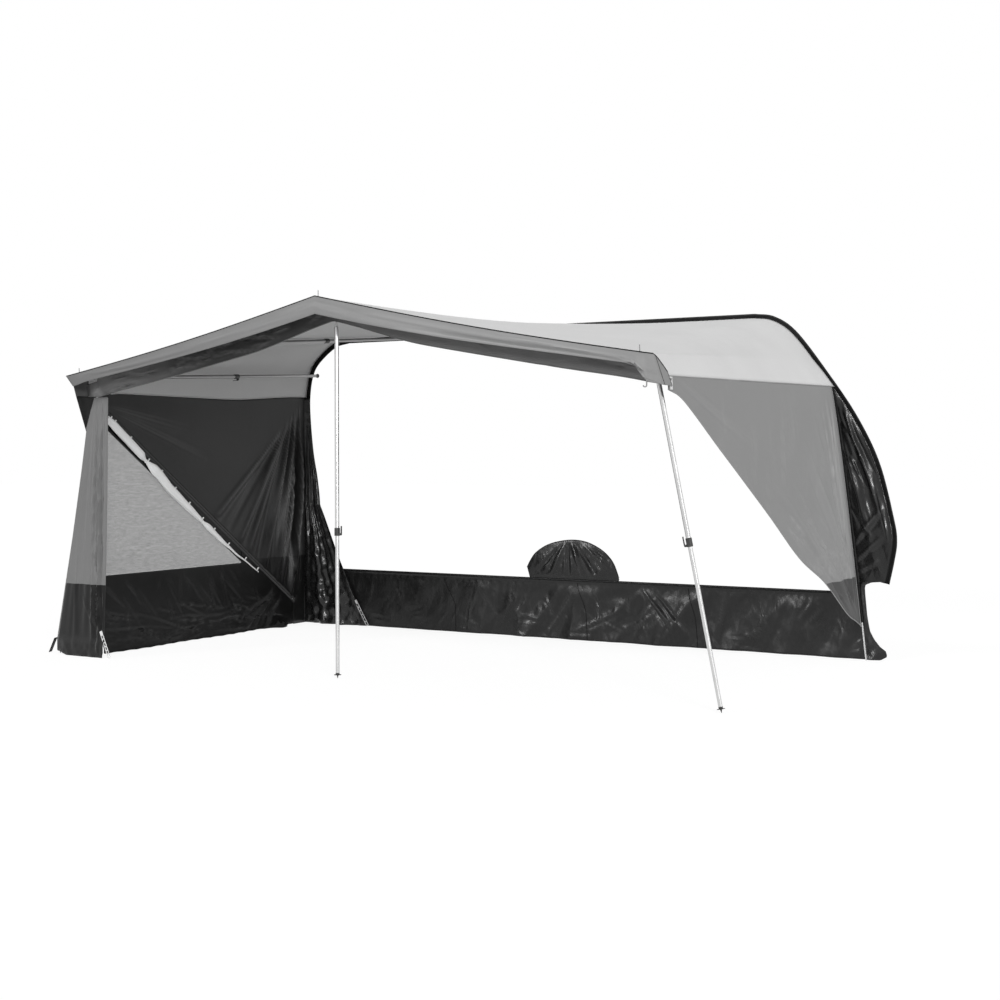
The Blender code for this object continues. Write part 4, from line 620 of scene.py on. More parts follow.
# Painted shade: a darker, duller copy of the aluminium for the rafters, which lie under the roof.
SHADED_RAFTER_METAL = metal_look("rafter_aluminium_painted_shade_look", 0.3, 0.42, (1, 0.05, 1))
STEEL = metal_look("steel_look", 0.55, 0.32, (1, 1, 1))
BLACK_PLASTIC = plastic_look("clamp_look", 0.02, 0.42)
WHITE_PLASTIC = plastic_look("white_plastic_look", 0.74, 0.38)
GREY_PLASTIC = plastic_look("grey_plastic_look", 0.26, 0.45)


# The roof
def roof():
    depth = np.hstack([np.linspace(0, 2.5, 64, endpoint=False), np.linspace(2.5, DEPTH, 16)])[:, None]
    t = depth / DEPTH
    top = np.unique(np.round(np.hstack([np.linspace(-FRONT_HALF, FRONT_HALF, 150), RAFTER_LINES]), 4))[None]
    x = top * (1 + (FOLD_RIGHT_REAR / FRONT_HALF - 1) * (1 - t) * ramp(top, 0.6, 1.8))
    z = roof_z(x, depth)
    edge = np.array((0, 0.15, 0.32, 0.5, 0.68, 0.82, 0.92, 0.97))[None]
    fold_z = z[:, :1]
    low = seam_left(depth)
    side_z = mix(low, fold_z, edge)
    side_x = mix(left_x(depth), -FRONT_HALF, edge) - 0.002 * (1 - t) * hump(edge)
    left = points(side_x, -left_side_depth(depth, side_z), side_z)
    mid = points(x, -np.maximum(depth, REAR), z)
    back = 1 - edge[:, ::-1]
    end_z = mix(z[:, -1:], seam_right(depth), back)
    end_x = mix(x[:, -1:], right_seam_x(depth), back) + 0.004 * hump(back)
    right = points(end_x, -np.maximum(depth, REAR), end_z)
    grid = np.hstack([left, mid, right])
    a, b = grid[..., 0], -grid[..., 1]
    lines = random_creases(26, (-2.2, 2.2), (0.2, 2.3), 90, 22, 0.7, 50, 3.5, 3)
    lines += [
        (-2.2, 2.7, -1.2, 1.3, 50, 5), (-2.2, 2.7, -1.7, 1, 40, -4), (2.2, 2.75, 1.3, 1.5, 50, -4),
        (2.2, 2.75, 1.8, 1, 40, 4), (PEAK_X, 2.75, -0.9, 1.8, 50, 3), (PEAK_X, 2.75, 0.8, 1.8, 50, 3),
    ]
    fold = creases(a, b, lines) * ramp(DEPTH - b, 0, 0.2) * ramp(b, 0, 0.15)
    for line in (-OUTER_RAFTER, -MID_RAFTER, PEAK_X, MID_RAFTER, OUTER_RAFTER):
        fold *= ramp(np.abs(a - line), 0.01, 0.16)
    grid = displaced(grid, fold)
    looks = np.zeros((grid.shape[0] - 1, grid.shape[1] - 1))
    # Materials come in pairs, outer and inner: the second for the left corner's flap and the third for the roof by
    # it, both dark inside as painted shade, the flap on its outer face too
    in_front = depth[1:, 0] > 2.59
    looks[in_front, :8] = 2
    looks[in_front, 8:11] = 4
    sheet("roof_cloth", grid, [ROOF_OUT, ROOF_IN, CORNER_SHADE, CORNER_SHADE, ROOF_OUT, CORNER_SHADE], ["roof"],
          looks=looks)
    tube("right_roof_seam", grid[::2, -1] + SEAM_LIFT, 0.0028, GREY)
    seam = grid[::2, 0] + SEAM_LIFT
    tube("left_roof_seam", seam[:-9], 0.0032, ROOF_IN)
    tube("left_corner_piping", seam[-9:], 0.0036, PIPING)


# The peaked band along the front edge, and its corner
def valance():
    t = np.array((0, 0.06, 0.14, 0.25, 0.37, 0.5, 0.62, 0.74, 0.86, 0.94, 1))[:, None]
    u = np.unique(np.round(np.hstack([np.linspace(0, 1, 170), [(PEAK_X + FRONT_HALF) / (2 * FRONT_HALF)]]), 5))
    x0 = mix(-FRONT_HALF, FRONT_HALF, u)[None]
    height = mix(0.108, 0.068, ramp(np.abs(x0 - PEAK_X), 0, FRONT_HALF))
    height = height + 0.1 * ramp(x0, 2.09, FRONT_HALF)
    top = front_z(x0) + 0.001
    z = top - height * t
    x = x0 + 0.062 * t * ramp(-x0, 2, FRONT_HALF)
    turn = ramp(x0, FRONT_HALF - 0.012, FRONT_HALF)
    x = mix(x, np.maximum(x, right_side_x(DEPTH, z) + 0.0042), turn)
    bulge = 0.004 * hump(t) * (1 - ramp(np.abs(x0), 2.1, 2.2))
    front = points(x, -(DEPTH + 0.0024 + bulge), z)
    back = np.linspace(0.06, 1, 14)[None]
    fall = np.interp(back, (0, 0.35, 0.7, 1), (0, 0.2, 0.6, 1))
    behind = DEPTH + 0.0024 - CORNER_DEPTH * back
    high = TIP_Z + 0.001 - 0.095 * fall
    low = TIP_Z - 0.168 - 0.0022 * back
    z2 = mix(high, low, t)
    side = points(right_side_x(behind, z2) + 0.0062, -behind, z2)
    grid = np.hstack([front, side])
    a, b = grid[..., 0], grid[..., 2] - front_z(np.clip(grid[..., 0], -FRONT_HALF, FRONT_HALF))
    lines = [
        (-2.1, -0.035, -0.6, -0.06, 18, 6), (-1.2, -0.03, 0, -0.085, 16, 4), (-0.4, -0.02, 0.5, -0.06, 16, -4),
        (0.1, -0.045, 2.1, -0.03, 15, 7), (0.5, -0.085, 2, -0.055, 13, -6), (1.2, -0.02, 2.2, -0.045, 12, 4),
        (-2.15, -0.01, -1.5, -0.05, 14, 4), (2.02, -0.03, 2.2, -0.12, 12, -4), (2.06, -0.1, 2.2, -0.06, 10, 6),
        (2.07, -0.055, 2.2, -0.085, 7, 8), (2.1, -0.085, 2.21, -0.12, 6, -6), (2.12, -0.03, 2.21, -0.045, 7, 5),
    ]
    fold = creases(a, b, lines) * ramp(t, 0, 0.2) * (1 - ramp(a, 2.185, 2.215))
    grid = displaced(grid, -1.6 * fold)
    sheet("front_valance_cloth", grid, [VALANCE], ["front_valance"])
    tube("valance_piping", grid[0, ::2] + (0, 0, 0.002), 0.0034, PIPING, 8)
    tube("valance_hem", grid[-1, ::2], 0.002, VALANCE)
    # The corner's patch seam, slanting down and forward to the buckle
    patch = grid[:, -14:][::2]
    for column, name in ((2, "corner_seam_front"), (-1, "corner_seam_rear")):
        tube(name, patch[:, column] + SEAM_LIFT, 0.0016, PIPING)


def inner_strip():
    half = OUTER_RAFTER - TUBE_R - 0.0035
    # A notch lets the middle rafter through
    notch = 0.03
    near = PEAK_X + np.array((-notch - 0.001, -notch, 0, notch, notch + 0.001))
    x = np.unique(np.round(np.hstack([np.linspace(-half, half, 180), near]), 5))[None]
    t = shares(16)
    x = np.hstack([[[-2.212, -2.176, -2.145, -half - 0.001]], x])
    top = roof_z(x, STRIP_LINE) - 0.0016
    share = ramp(np.abs(x - PEAK_X), 0, 0.68)
    low = np.where(x < -half, 1.848, top - mix(0.135, 0.172, share))
    top = np.where((np.abs(x - PEAK_X) <= notch) | (x < -half), top - 0.062, top)
    z = mix(top, low, t)
    sway = 0.006 * np.sin(x * 9 + np.sin(x * 4)) * hump(t)
    curl = 0.012 * t ** 2
    grid = points(x, -(STRIP_LINE + sway - curl), z)
    a = grid[..., 0]
    b = grid[..., 2] - roof_z(a, STRIP_LINE)
    lines = random_creases(50, (-2.1, 2.1), (-0.16, -0.02), 166, 14, 0.34, 9, 11, 11)
    lines += random_creases(34, (-2.1, 2.1), (-0.16, -0.02), 14, 14, 0.34, 9, 11, 12)
    grid = displaced(grid, creases(a, b, lines) * ramp(t, 0, 0.15))
    sheet("inner_strip_cloth", grid, [STRIP], ["inner_strip"])
    tube("inner_strip_hem", grid[-1, ::2], 0.003, STRIP)


# The left side: wall, zipped window panel, blind and wing
def left_wall():
    k = np.linspace(0, 1, 10, endpoint=False)
    d_high = mix(DEPTH, WALL_FRONT, k)
    d_low = mix(WING_MEET, WALL_FRONT, k)
    main = np.hstack([np.linspace(WALL_FRONT, 1.4, 40, endpoint=False), np.linspace(1.4, ZIP_END[0], 130),
                           [ZIP_END[0] - 0.002], np.linspace(0.195, REAR, 24)])
    t = shares(64)
    high_z = seam_left(d_high) - TOUCH
    high = points(left_x(d_high), -left_side_depth(d_high, high_z), high_z)
    low = points(left_x(d_low), -d_low, wing_seam_z(d_low) + CLOTH)
    wedge = mix(high[None], low[None], t[..., None])
    top = seam_left(main) - TOUCH
    bottom = np.where(main >= ZIP_END[0], np.minimum(zip_z(main), ZIP_TOP[1]), 0)
    grid = np.hstack([wedge, on_left(main, mix(top, bottom, t))])
    d, z = -grid[..., 1], grid[..., 2]
    # Tension folds that fan down from the rear top corner to the zip
    lines = [(0.1 + 0.022 * i, 1.86 - 0.02 * i, foot, zip_z(foot) - 0.1, 16 + 1.8 * i,
              (46, -30, 30, 44, -28)[i % 5] * (1 - 0.04 * i))
             for i, foot in enumerate((0.24, 0.3, 0.37, 0.44, 0.53, 0.62, 0.72, 0.84, 0.97, 1.12, 1.3))]
    lines += [
        (0.13, 1.6, 0.17, 0.26, 44, 52), (0.1, 1.85, 0.1, 0.25, 12, -22), (0.2, 1.6, 0.3, 0.4, 26, 34),
        (0.24, 1.5, 0.21, 0.25, 10, -20), (2.35, 1.78, 1.5, 1.62, 20, -5), (2.3, 1.74, 1.3, 1.4, 20, 5),
    ]
    fold = creases(d, z, lines) * ramp(seam_left(d) - z, 0, 0.15) * ramp(d, REAR, 0.1)
    fold *= ramp(z - zip_z(d), 0, 0.1) * (d > ZIP_END[0]) + (d <= ZIP_END[0])
    grid[..., 0] += np.where(d < WALL_FRONT, fold + 0.004 * np.sin(d * 3 + z * 2) * ramp(z - zip_z(d), 0, 0.3)
                              * ramp(seam_left(d) - z, 0, 0.3), 0)
    sheet("left_wall_cloth", grid, [DARK], ["left_wall_panel"])


def zip_line(depths, lift, drop):
    """Points on the inner face of the left side along the zip; drop is how far below it, square to it."""
    d = depths + drop * math.sin(ZIP_RISE)
    return on_left(d, zip_z(depths) - drop * math.cos(ZIP_RISE)) + (CLOTH / 2 + lift, 0, 0)


def zip_details():
    depths = np.linspace(ZIP_TOP[0], ZIP_END[0] - 0.02, 90)
    tape("zip_tape", zip_line(depths, 0.0006, -0.006), (0, -math.sin(ZIP_RISE), -math.cos(ZIP_RISE)), 0.019,
         (1, 0, 0), TAPE)
    tube("zip_coil", zip_line(depths, 0.002, -0.006), 0.0022, PIPING)
    tube("zip_tape_edge", zip_line(depths, 0.0016, -0.027), 0.0018, PIPING)


BLIND_END = 0.645
BLIND_DROP = 0.086
BLIND_HALF = (0.04, 0.0235)
STRAP_PLACES = (0.2375, 0.61)
BLIND_DROP_SHARES = (
    (0, 0.39), (0.1, 0.47), (0.2, 0.53), (0.3, 0.72), (0.4, 0.96), (0.6, 0.98), (0.72, 1),
    (0.83, 0.87), (0.94, 0.62), (1, 0.52),
)
BLIND_WIDTH_SHARES = (
    (0, 0.62), (0.05, 0.83), (0.15, 0.8), (0.205, 0.75), (0.2375, 0.3), (0.29, 0.98), (0.35, 0.96),
    (0.41, 0.88), (0.51, 0.72), (0.59, 0.52), (0.61, 0.3), (0.65, 0.62), (0.72, 0.5), (0.775, 0.33),
    (0.83, 0.2), (0.94, 0.13), (1, 0.1),
)
TIE_PLACES = (0.012, 0.035, 0.135, 0.245, 0.325, 0.415, 0.51, 0.605, 0.685, 0.785, 0.9, 0.985)


def blind():
    start = np.array((0, -ZIP_TOP[0], ZIP_TOP[1]))
    end = np.array((0, -BLIND_END, zip_z(BLIND_END)))
    along = unit(end - start)
    across = np.cross((1, 0, 0), along)
    across = across if across[2] < 0 else -across
    t = np.linspace(0, 1, 130)
    width = eased(BLIND_WIDTH_SHARES, t)
    sides = 28
    a = np.arange(sides)[None] * 2 * math.pi / sides
    t_col, width_col = t[:, None], width[:, None]
    # The roll's loose edge and its lengthwise wrinkles
    wrinkle = 1 + 0.07 * np.sin(3 * a + 7 * t_col) + 0.05 * np.sin(7 * a - 19 * t_col)
    wrinkle += 0.05 * np.sin(5 * a + 40 * t_col) * (1 - width_col)
    centre = mix(start, end, t_col) + across * BLIND_DROP * eased(BLIND_DROP_SHARES, t_col)
    centre[:, 0] = left_x(-centre[:, 1]) + CLOTH / 2 + TOUCH + 0.024 * width
    ring = centre[:, None] + across * (np.cos(a) * BLIND_HALF[0] * width_col * wrinkle)[..., None]
    ring[..., 0] += np.sin(a) * BLIND_HALF[1] * width_col * np.minimum(wrinkle, 1.02)
    *walls, first, last = ring_faces(len(t), sides)
    faces = [face[:1] + face[:0:-1] for face in walls] + [first[::-1], last[::-1]]
    obj = add_object("rolled_blind_cloth", ring, faces, [BLIND], ["rolled_blind"])
    # The two straps that pinch the roll, and the toggles that hold it to the zip's edge
    for i, place in enumerate(STRAP_PLACES):
        k = int(round(place * (len(t) - 1)))
        loop = centre[k] + (ring[k] - centre[k]) * 1.08
        tube(f"blind_strap_{i}", np.vstack([loop, loop[:2]]), 0.0032, TIE)
    for i, place in enumerate(TIE_PLACES):
        k = int(round(place * (len(t) - 1)))
        root = centre[k] - across * 0.036 * width[k]
        root[0] = left_x(-root[1]) + CLOTH / 2 + 0.01
        head = root - across * 0.022 + (0.004, 0, 0)
        tube(f"blind_tie_{i}", mix(root, head, shares(7)),
             (0.0044, 0.0052, 0.0046, 0.0046, 0.006, 0.0066, 0.0036), TIE, 8)


def door_panel():
    gap = 0.0008
    border = 0.09 / math.cos(ZIP_RISE)
    tip = ZIP_END[0] + (MUD + border - ZIP_END[1]) / ZIP_SLOPE
    # Border under the zip
    d = np.hstack([[WALL_FRONT], np.linspace(ZIP_TOP[0], tip, 60)])
    top = np.minimum(zip_z(d), ZIP_TOP[1]) - gap
    z = mix(top, np.maximum(top - border, MUD), shares(6))
    sheet("zip_border_cloth", on_left(d, z), [MUD_PVC])
    # Mud panel down to the ground, with its hem lying inwards
    d = np.hstack([np.linspace(WALL_FRONT, tip, 130, endpoint=False), np.linspace(tip, ZIP_END[0] + gap, 50)])
    top = np.where(d > tip, MUD, zip_z(d) - gap)
    t = shares(46)
    z = mix(top, 0.006, t)
    lobe = bell(d, 0.47, 0.13)
    lie = 0.04 * ramp(d, 0.35, 0.9) * (1 + 0.25 * np.sin(d * 7)) + 0.11 * lobe
    grid = on_left(d, z)
    lines = random_creases(70, (0.3, 2.4), (0.02, 0.24), 4, 10, 0.46, 7, 7, 21)
    lines += random_creases(34, (0.5, 2.3), (0.1, 0.5), 62, 14, 0.34, 9, 12, 22)
    lines += [
        (0.45, 0.34, 0.72, 0.04, 18, 30), (0.36, 0.26, 0.6, 0.03, 14, -22), (0.42, 0.3, 0.95, 0.1, 14, 20),
        (0.55, 0.22, 0.86, 0.02, 12, 18),
    ]
    fold = creases(-grid[..., 1], grid[..., 2], lines)
    grid[..., 0] += fold * ramp(t, 0, 0.25) * ramp(d, ZIP_END[0], 0.4) + lie * 0.35 * ramp(t, 0.75, 1)
    hem = []
    for s in np.linspace(0, 1, 9)[1:]:
        crumple = 0.5 + facets(d, s * 0.12 + 0 * d, 0.06, 23)
        lift = 0.0035 + 0.004 * np.abs(np.sin(d * 23 + s)) * s + 0.085 * lobe * crumple * hump(s) ** 0.6
        hem.append(points(grid[-1, :, 0] + lie * 0.75 * s, -d, lift))
    grid = np.vstack([grid, hem])
    sheet("mud_panel_cloth", grid, [MUD_PVC], ["left_door_panel"])
    # Window foil
    d = np.linspace(WALL_FRONT, tip + 0.0024, 130)
    top = np.maximum(np.minimum(zip_z(d), ZIP_TOP[1]) - gap - border - gap, MUD + 2 * gap)
    z = mix(top, MUD + gap, shares(70))
    grid = on_left(d, z)
    lines = [
        (2.1, 1.3, 2.34, 0.6, 10, 3), (1.5, 0.95, 2.4, 0.62, 12, 2),
    ]
    lines += random_creases(40, (1, 2.4), (0.58, 1.4), 125, 50, 0.14, 7, 1.6, 31)
    inner = ramp(top - z, 0, 0.1) * ramp(z - MUD, 0, 0.1)
    grid[..., 0] += creases(-grid[..., 1], grid[..., 2], lines) * inner
    sheet("window_foil", grid, [FOIL], ["left_window"], thickness=0.0008)


def wing():
    wall_x = -left_x(WALL_FRONT)
    behind = WALL_FRONT + 0.0018
    out_x, inner_x, top_z = 2.2325, 2.136, 1.835
    foot_out, cut = 2.55, 0.12
    first, second = mix(behind, WING_TURN, 0.6), mix(WING_TURN, WING_MEET, 0.6)
    seam = ((wall_x, behind), (mix(wall_x, out_x, 0.5), first), (out_x, WING_TURN), (out_x, second),
            (out_x, WING_MEET))
    tops = [(x, depth, wing_seam_z(depth)) for x, depth in seam]
    feet = [(wall_x, behind, 0.002), (mix(wall_x, foot_out, 0.62), mix(behind, WING_TURN, 0.35), cut * 0.4),
            (foot_out, WING_TURN, cut), (foot_out + CLOTH, second, cut),
            (foot_out, WING_MEET + CLOTH, cut * 0.9)]
    for i in range(61):
        s = i / 60
        x, z = np.interp(s, (0, 0.33, 1), (out_x, inner_x, 2.01)), np.interp(s, (0, 0.33), (WING_SEAM[1], top_z))
        tops.append((x, mix(WING_MEET, WING_FRONT, min(s * 8 + 0.5, 1)), z))
        feet.append((mix(2.521, 2.068, s), WING_FRONT, 0.002 + cut * 0.25 * (1 - ramp(s, 0, 0.25))))
    t = shares(90)
    grid = mix(np.array(tops), np.array(feet), t[..., None]) * (-1, -1, 1)
    s = np.clip((np.arange(len(tops)) - 5) / 60, 0, 1)[None]
    wave = 0.007 * np.sin(s * 3.5 * math.pi) + 0.006 * np.sin(s * 11 * math.pi + 1) * t
    wave = wave * hump(t * 0.9 + 0.12)
    lines = [
        (0.55, 0, 0.76, 1, 26, 18), (0.66, 0, 0.84, 1, 20, -20), (0.78, 0, 0.9, 1, 16, 26),
        (0.88, 0.02, 0.95, 1, 14, -20), (0.7, 0.55, 0.97, 1, 16, 16), (0.6, 0.66, 0.98, 0.96, 14, -10),
        (0.4, 0.74, 0.98, 0.95, 12, 8), (0.35, 0, 0.55, 0.9, 50, 8), (0.18, 0.5, 0.38, 1, 40, 7),
        (0.28, 0.1, 0.42, 0.8, 30, -6),
    ]
    grid[..., 1] -= (wave + creases(s + 0 * t, t + 0 * s, lines)) * ramp(s, 0.05, 0.3)
    flap = ramp(t, 0.925, 0.95) * ramp(s, 0, 0.15)
    grid[..., 1] -= 0.012 * flap * (1.2 + facets(grid[..., 0], grid[..., 2], 0.07, 73))
    sheet("left_wing_cloth", grid, [WING], ["left_wing"])
    tube("wing_edge_hem", grid[::2, -1], 0.0028, WING)
    tube("wing_top_hem", grid[0, 8:] + (0, 0, 0.001), 0.0024, WING)
    # The dark pegging strap at the foot of the corner
    line = mix(np.array((-2.556, -2.585, 0.115)), np.array((-2.64, -2.56, 0.004)), shares(8))
    tape("corner_peg_strap", line, (0.35, -0.93, 0), 0.024, (-0.8, -0.3, 0.5), PIPING, 0.002)


# Along the caravan: rail band, rear panels, skirt and wheel-arch cover
def left_rear_panel():
    level = shares(130)
    s = shares(80).T
    height = mix(1.925, 0.003, level)
    low = 1 - np.minimum(height / 1.02, 1)
    near = rail_x(LEFT_RAIL, np.maximum(height, 1.02)) + 0.04
    edge = mix(near, -1.61, low)
    flat = mix(0.04, mix(SEAT, 0.04, ramp(low, 0, 0.5)), s)
    wave = np.sin(s * 5 * math.pi + level * 3 + 0.8 * np.sin(level * 9))
    wave = (wave + 0.5 * np.sin(s * 13 * math.pi + level * 7)) * hump(s)
    depth = flat + 0.013 * wave * ramp(level, 0.05, 0.5)
    x = mix(left_x(depth) + CLOTH + 2 * TOUCH, edge, s)
    grid = points(x, -depth, height)
    a, b = grid[..., 0], grid[..., 2]
    crush = 0.036 * facets(a, b, 0.13, 81, 2.2, 100) + 0.02 * facets(a, b, 0.06, 82, 1.6, 65) + 0.012
    foot = (0.5 + facets(a, b, 0.075, 83, 1.2, 125)) * 0.034 * ramp(level, 0.66, 0.86)
    grid[..., 1] -= (crush * ramp(level, 0.25, 0.8) + foot) * hump(s) ** 0.5
    grid[..., 1] = np.minimum(grid[..., 1], -REAR - 0.0015)
    sheet("left_rear_cloth", grid, [GLOSS], ["left_rear_panel"])
    tube("left_rear_hem", grid[::2, -1], 0.0022, GLOSS)


def rail_band():
    outline = np.vstack([LEFT_RAIL[::-1], RIGHT_RAIL])
    along = unit(np.gradient(outline, axis=0))
    steps = np.array((-0.04, -0.034, -0.028, -0.01, 0.01, 0.02, 0.026, 0.032))[:, None]
    relief = np.array((0, 0.0006, 0, 0, 0, 0.0016, 0.003, 0.0016))[:, None]
    grid = points(outline[:, 0] - along[:, 1] * steps, -0.0028 - relief, outline[:, 1] + along[:, 0] * steps)
    sheet("rail_band_strip", grid, [BAND], ["rail_band"], thickness=0.004)


def skirt():
    level = np.hstack([[1, 0.985, 0.968, 0.952, 0.935], np.linspace(0.9, 0, 34)])[:, None]
    s = shares(460).T
    z = SKIRT_TOP * level
    right = right_rear_x(z) - 0.0124
    x = mix(-1.8 - 0.135 * ramp(z, 0.2, 0.46), right, s)
    bead = 0.006 * bell(level, SKIRT_BEAD, 0.014)
    a, b = x, z + 0 * x
    body = ramp(1 - level, 0.06, 0.3)
    calm = 0.45 + 0.55 * ramp(np.abs(a + 1.1), 0.2, 0.9)
    broad = facets(a, b, 0.3, 41, 2.2, 58) * 0.046 + facets(a, b, 0.16, 42, 3, 78) * 0.02
    small = facets(a, b, 0.07, 43, 1.4, 100) * 0.0045
    ruffle = 0.0016 * np.sin(x * 95 + 2 * np.sin(x * 9)) * bell(level, 0.9, 0.03)
    lines = random_creases(70, (-1.8, 2.6), (0.02, 0.44), 82, 22, 0.22, 8, 10, 44)
    lines += random_creases(46, (-1.8, 2.6), (0.02, 0.2), 20, 30, 0.2, 8, 8, 45)
    lines += [
        (0.9, 0.44, 1.2, 0.12, 16, 16), (1, 0.42, 1.33, 0.08, 14, -12), (1.3, 0.36, 1.1, 0.05, 12, 12),
        (0.34, 0.4, 0.1, 0.03, 12, 12), (-0.6, 0.3, -0.62, 0.02, 10, 12), (0.33, 0.06, 0.75, 0.26, 14, 10),
    ]
    depth = 0.015 + bead + ruffle + (broad + small + creases(a, b, lines)) * body * calm
    depth = np.clip(depth + 0.006 * body, 0.0035, mix(0.03, 0.06, ramp(a, -1.8, -1.65)))
    grid = points(x, -depth, z)
    grid[-1, :, 2] = 0.002
    sheet("draught_skirt_cloth", grid, [SKIRT], ["draught_skirt"])
    for i, place in enumerate((0.24, 0.51, 0.715)):
        tube(f"skirt_seam_{i}", grid[4:, int(place * s.size)] - (0, 0.0014, 0), 0.0024, PIPING)
    tube("skirt_hem", grid[-2, ::4] - (0, 0.0006, 0), 0.0022, SKIRT)
    tube("skirt_bead", points(x[0, ::6], -0.0215, SKIRT_TOP * SKIRT_BEAD), 0.0042, BAND, 8)


def arch_cover():
    low, left, width = SKIRT_TOP - 0.03, -0.078, 0.802
    outline = (
        (0, 0.325), (0.04, 0.5), (0.1, 0.68), (0.22, 0.86), (0.37, 0.965), (0.52, 1),
        (0.66, 0.955), (0.79, 0.82), (0.88, 0.66), (0.945, 0.46), (1, 0.13),
    )
    edge = spline(outline, 110) * (width, 0.778 - low) + (left, low)
    s, t = shares(110).T, shares(48)
    x, z = mix(left + width * mix(0.04, 0.985, s), edge[:, 0], t), mix(low, edge[:, 1], t)
    lines = [
        (0.31, 0.77, 0.44, 0.46, 22, 16), (0.34, 0.76, 0.56, 0.47, 22, -14), (0.28, 0.77, 0.3, 0.46, 18, -12),
        (0.26, 0.76, 0.13, 0.47, 20, 13), (0.2, 0.72, 0.02, 0.52, 18, -10), (0.4, 0.76, 0.68, 0.52, 18, 12),
        (0.5, 0.72, 0.66, 0.62, 14, -8), (0.36, 0.74, 0.5, 0.47, 10, 8),
    ]
    folds = creases(x, z, lines) + 0.014 * facets(x, z, 0.15, 71, 1.8, 65)
    folds += 0.0025 * facets(x, z, 0.05, 72, 1.4, 20) + 0.005
    proud = 0.01 * hump(t) * hump(s) + folds * hump(t) ** 0.6 * hump(s) ** 0.5
    depth = 0.016 - CLOTH - TOUCH + proud * ramp(z, 0.47, 0.5)
    grid = points(x, -np.maximum(depth, 0.004), z)
    sheet("wheel_arch_cloth", grid, [GLOSS], ["wheel_arch_cover"])
    tube("wheel_arch_hem", grid[-1, ::2], 0.0035, GLOSS)


# The right side: wall with its hollow-curved edge, and the dark panel behind it
WALL_EDGE_SHARES = (
    (0, 0.925), (0.058, 0.906), (0.128, 0.855), (0.233, 0.765), (0.343, 0.67), (0.485, 0.54),
    (0.633, 0.394), (0.77, 0.301), (0.893, 0.183), (0.955, 0.146), (1, 0.12),
)


def right_wall():
    curve = spline(WALL_EDGE_SHARES, 160)
    depth = mix(RIGHT_WALL_FRONT, RIGHT_WALL_REAR, curve[:, 0])
    top = seam_right(depth) - TOUCH
    low = np.clip(RIGHT_TOP * curve[:, 1], 0, top - 0.016)
    t = shares(80)
    z = mix(top, low, t)
    s = curve[None, :, 0]
    fold = 0.01 * np.sin(6 * math.pi * s * s) * hump(t) * ramp(s, 0.3, 0.8)
    d = depth[None] + 0 * t
    lines = [
        (0.9, 1.05, 0.25, 0.45, 20, 6), (0.75, 1, 0.2, 0.42, 16, -5), (0.62, 0.85, 0.12, 0.35, 14, 6),
        (0.45, 0.8, 0.1, 0.35, 14, -5), (0.8, 0.85, 0.3, 0.72, 12, 4), (0.35, 1.1, 0.1, 0.3, 16, 6),
        (0.55, 0.72, 0.25, 0.55, 10, 4), (0.25, 1.3, 0.09, 0.3, 18, -6), (2.6, 1.86, 1.5, 1.45, 30, 3),
        (0.22, 1.86, 0.16, 0.45, 14, 7), (0.34, 1.8, 0.2, 0.4, 14, -5), (0.14, 1.88, 0.11, 0.35, 12, -6),
        (0.2, 0.4, 1.35, 1.3, 40, 8), (0.16, 0.45, 1, 1.35, 36, -7), (0.14, 0.5, 0.72, 1.55, 34, 8),
        (0.12, 0.5, 0.46, 1.75, 30, -6),
    ]
    lines += random_creases(26, (0.25, 1.3), (0.45, 1.15), 215, 18, 0.3, 8, 6, 51)
    lines += random_creases(24, (0.3, 2.3), (0.8, 1.85), 95, 12, 0.45, 20, 4, 52)
    near = ramp(d, 0.08, 0.14)
    fold = (fold + 2.4 * creases(d, z, lines) * ramp(t, 0, 0.12) * (1 - ramp(t, 0.96, 1)) * near) * near
    grid = points(right_wall_x(d, z) + fold, -d, z)
    sheet("right_wall_cloth", grid, [RIGHT], ["right_wall_panel"])
    tube("right_wall_hem", grid[-1] + (0.0006, 0, -0.0006), 0.003, GREY)
    # The dark band down the rear edge, with its two sewn lines
    level = np.linspace(grid[-1, -1, 2] + 0.004, grid[0, -1, 2], 60)

    def down_at(place, lift):
        return points(right_wall_x(place, level) + lift, -place, level)

    tape("right_wall_rear_band", down_at(0.052, 0.002), (0, -1, 0), 0.017, (1, 0, 0), PIPING)
    tube("right_wall_rear_seam", down_at(0.074, 0.004), 0.0022, GREY)
    tube("right_wall_rear_edge", down_at(0.033, 0.0032), 0.0026, PIPING)


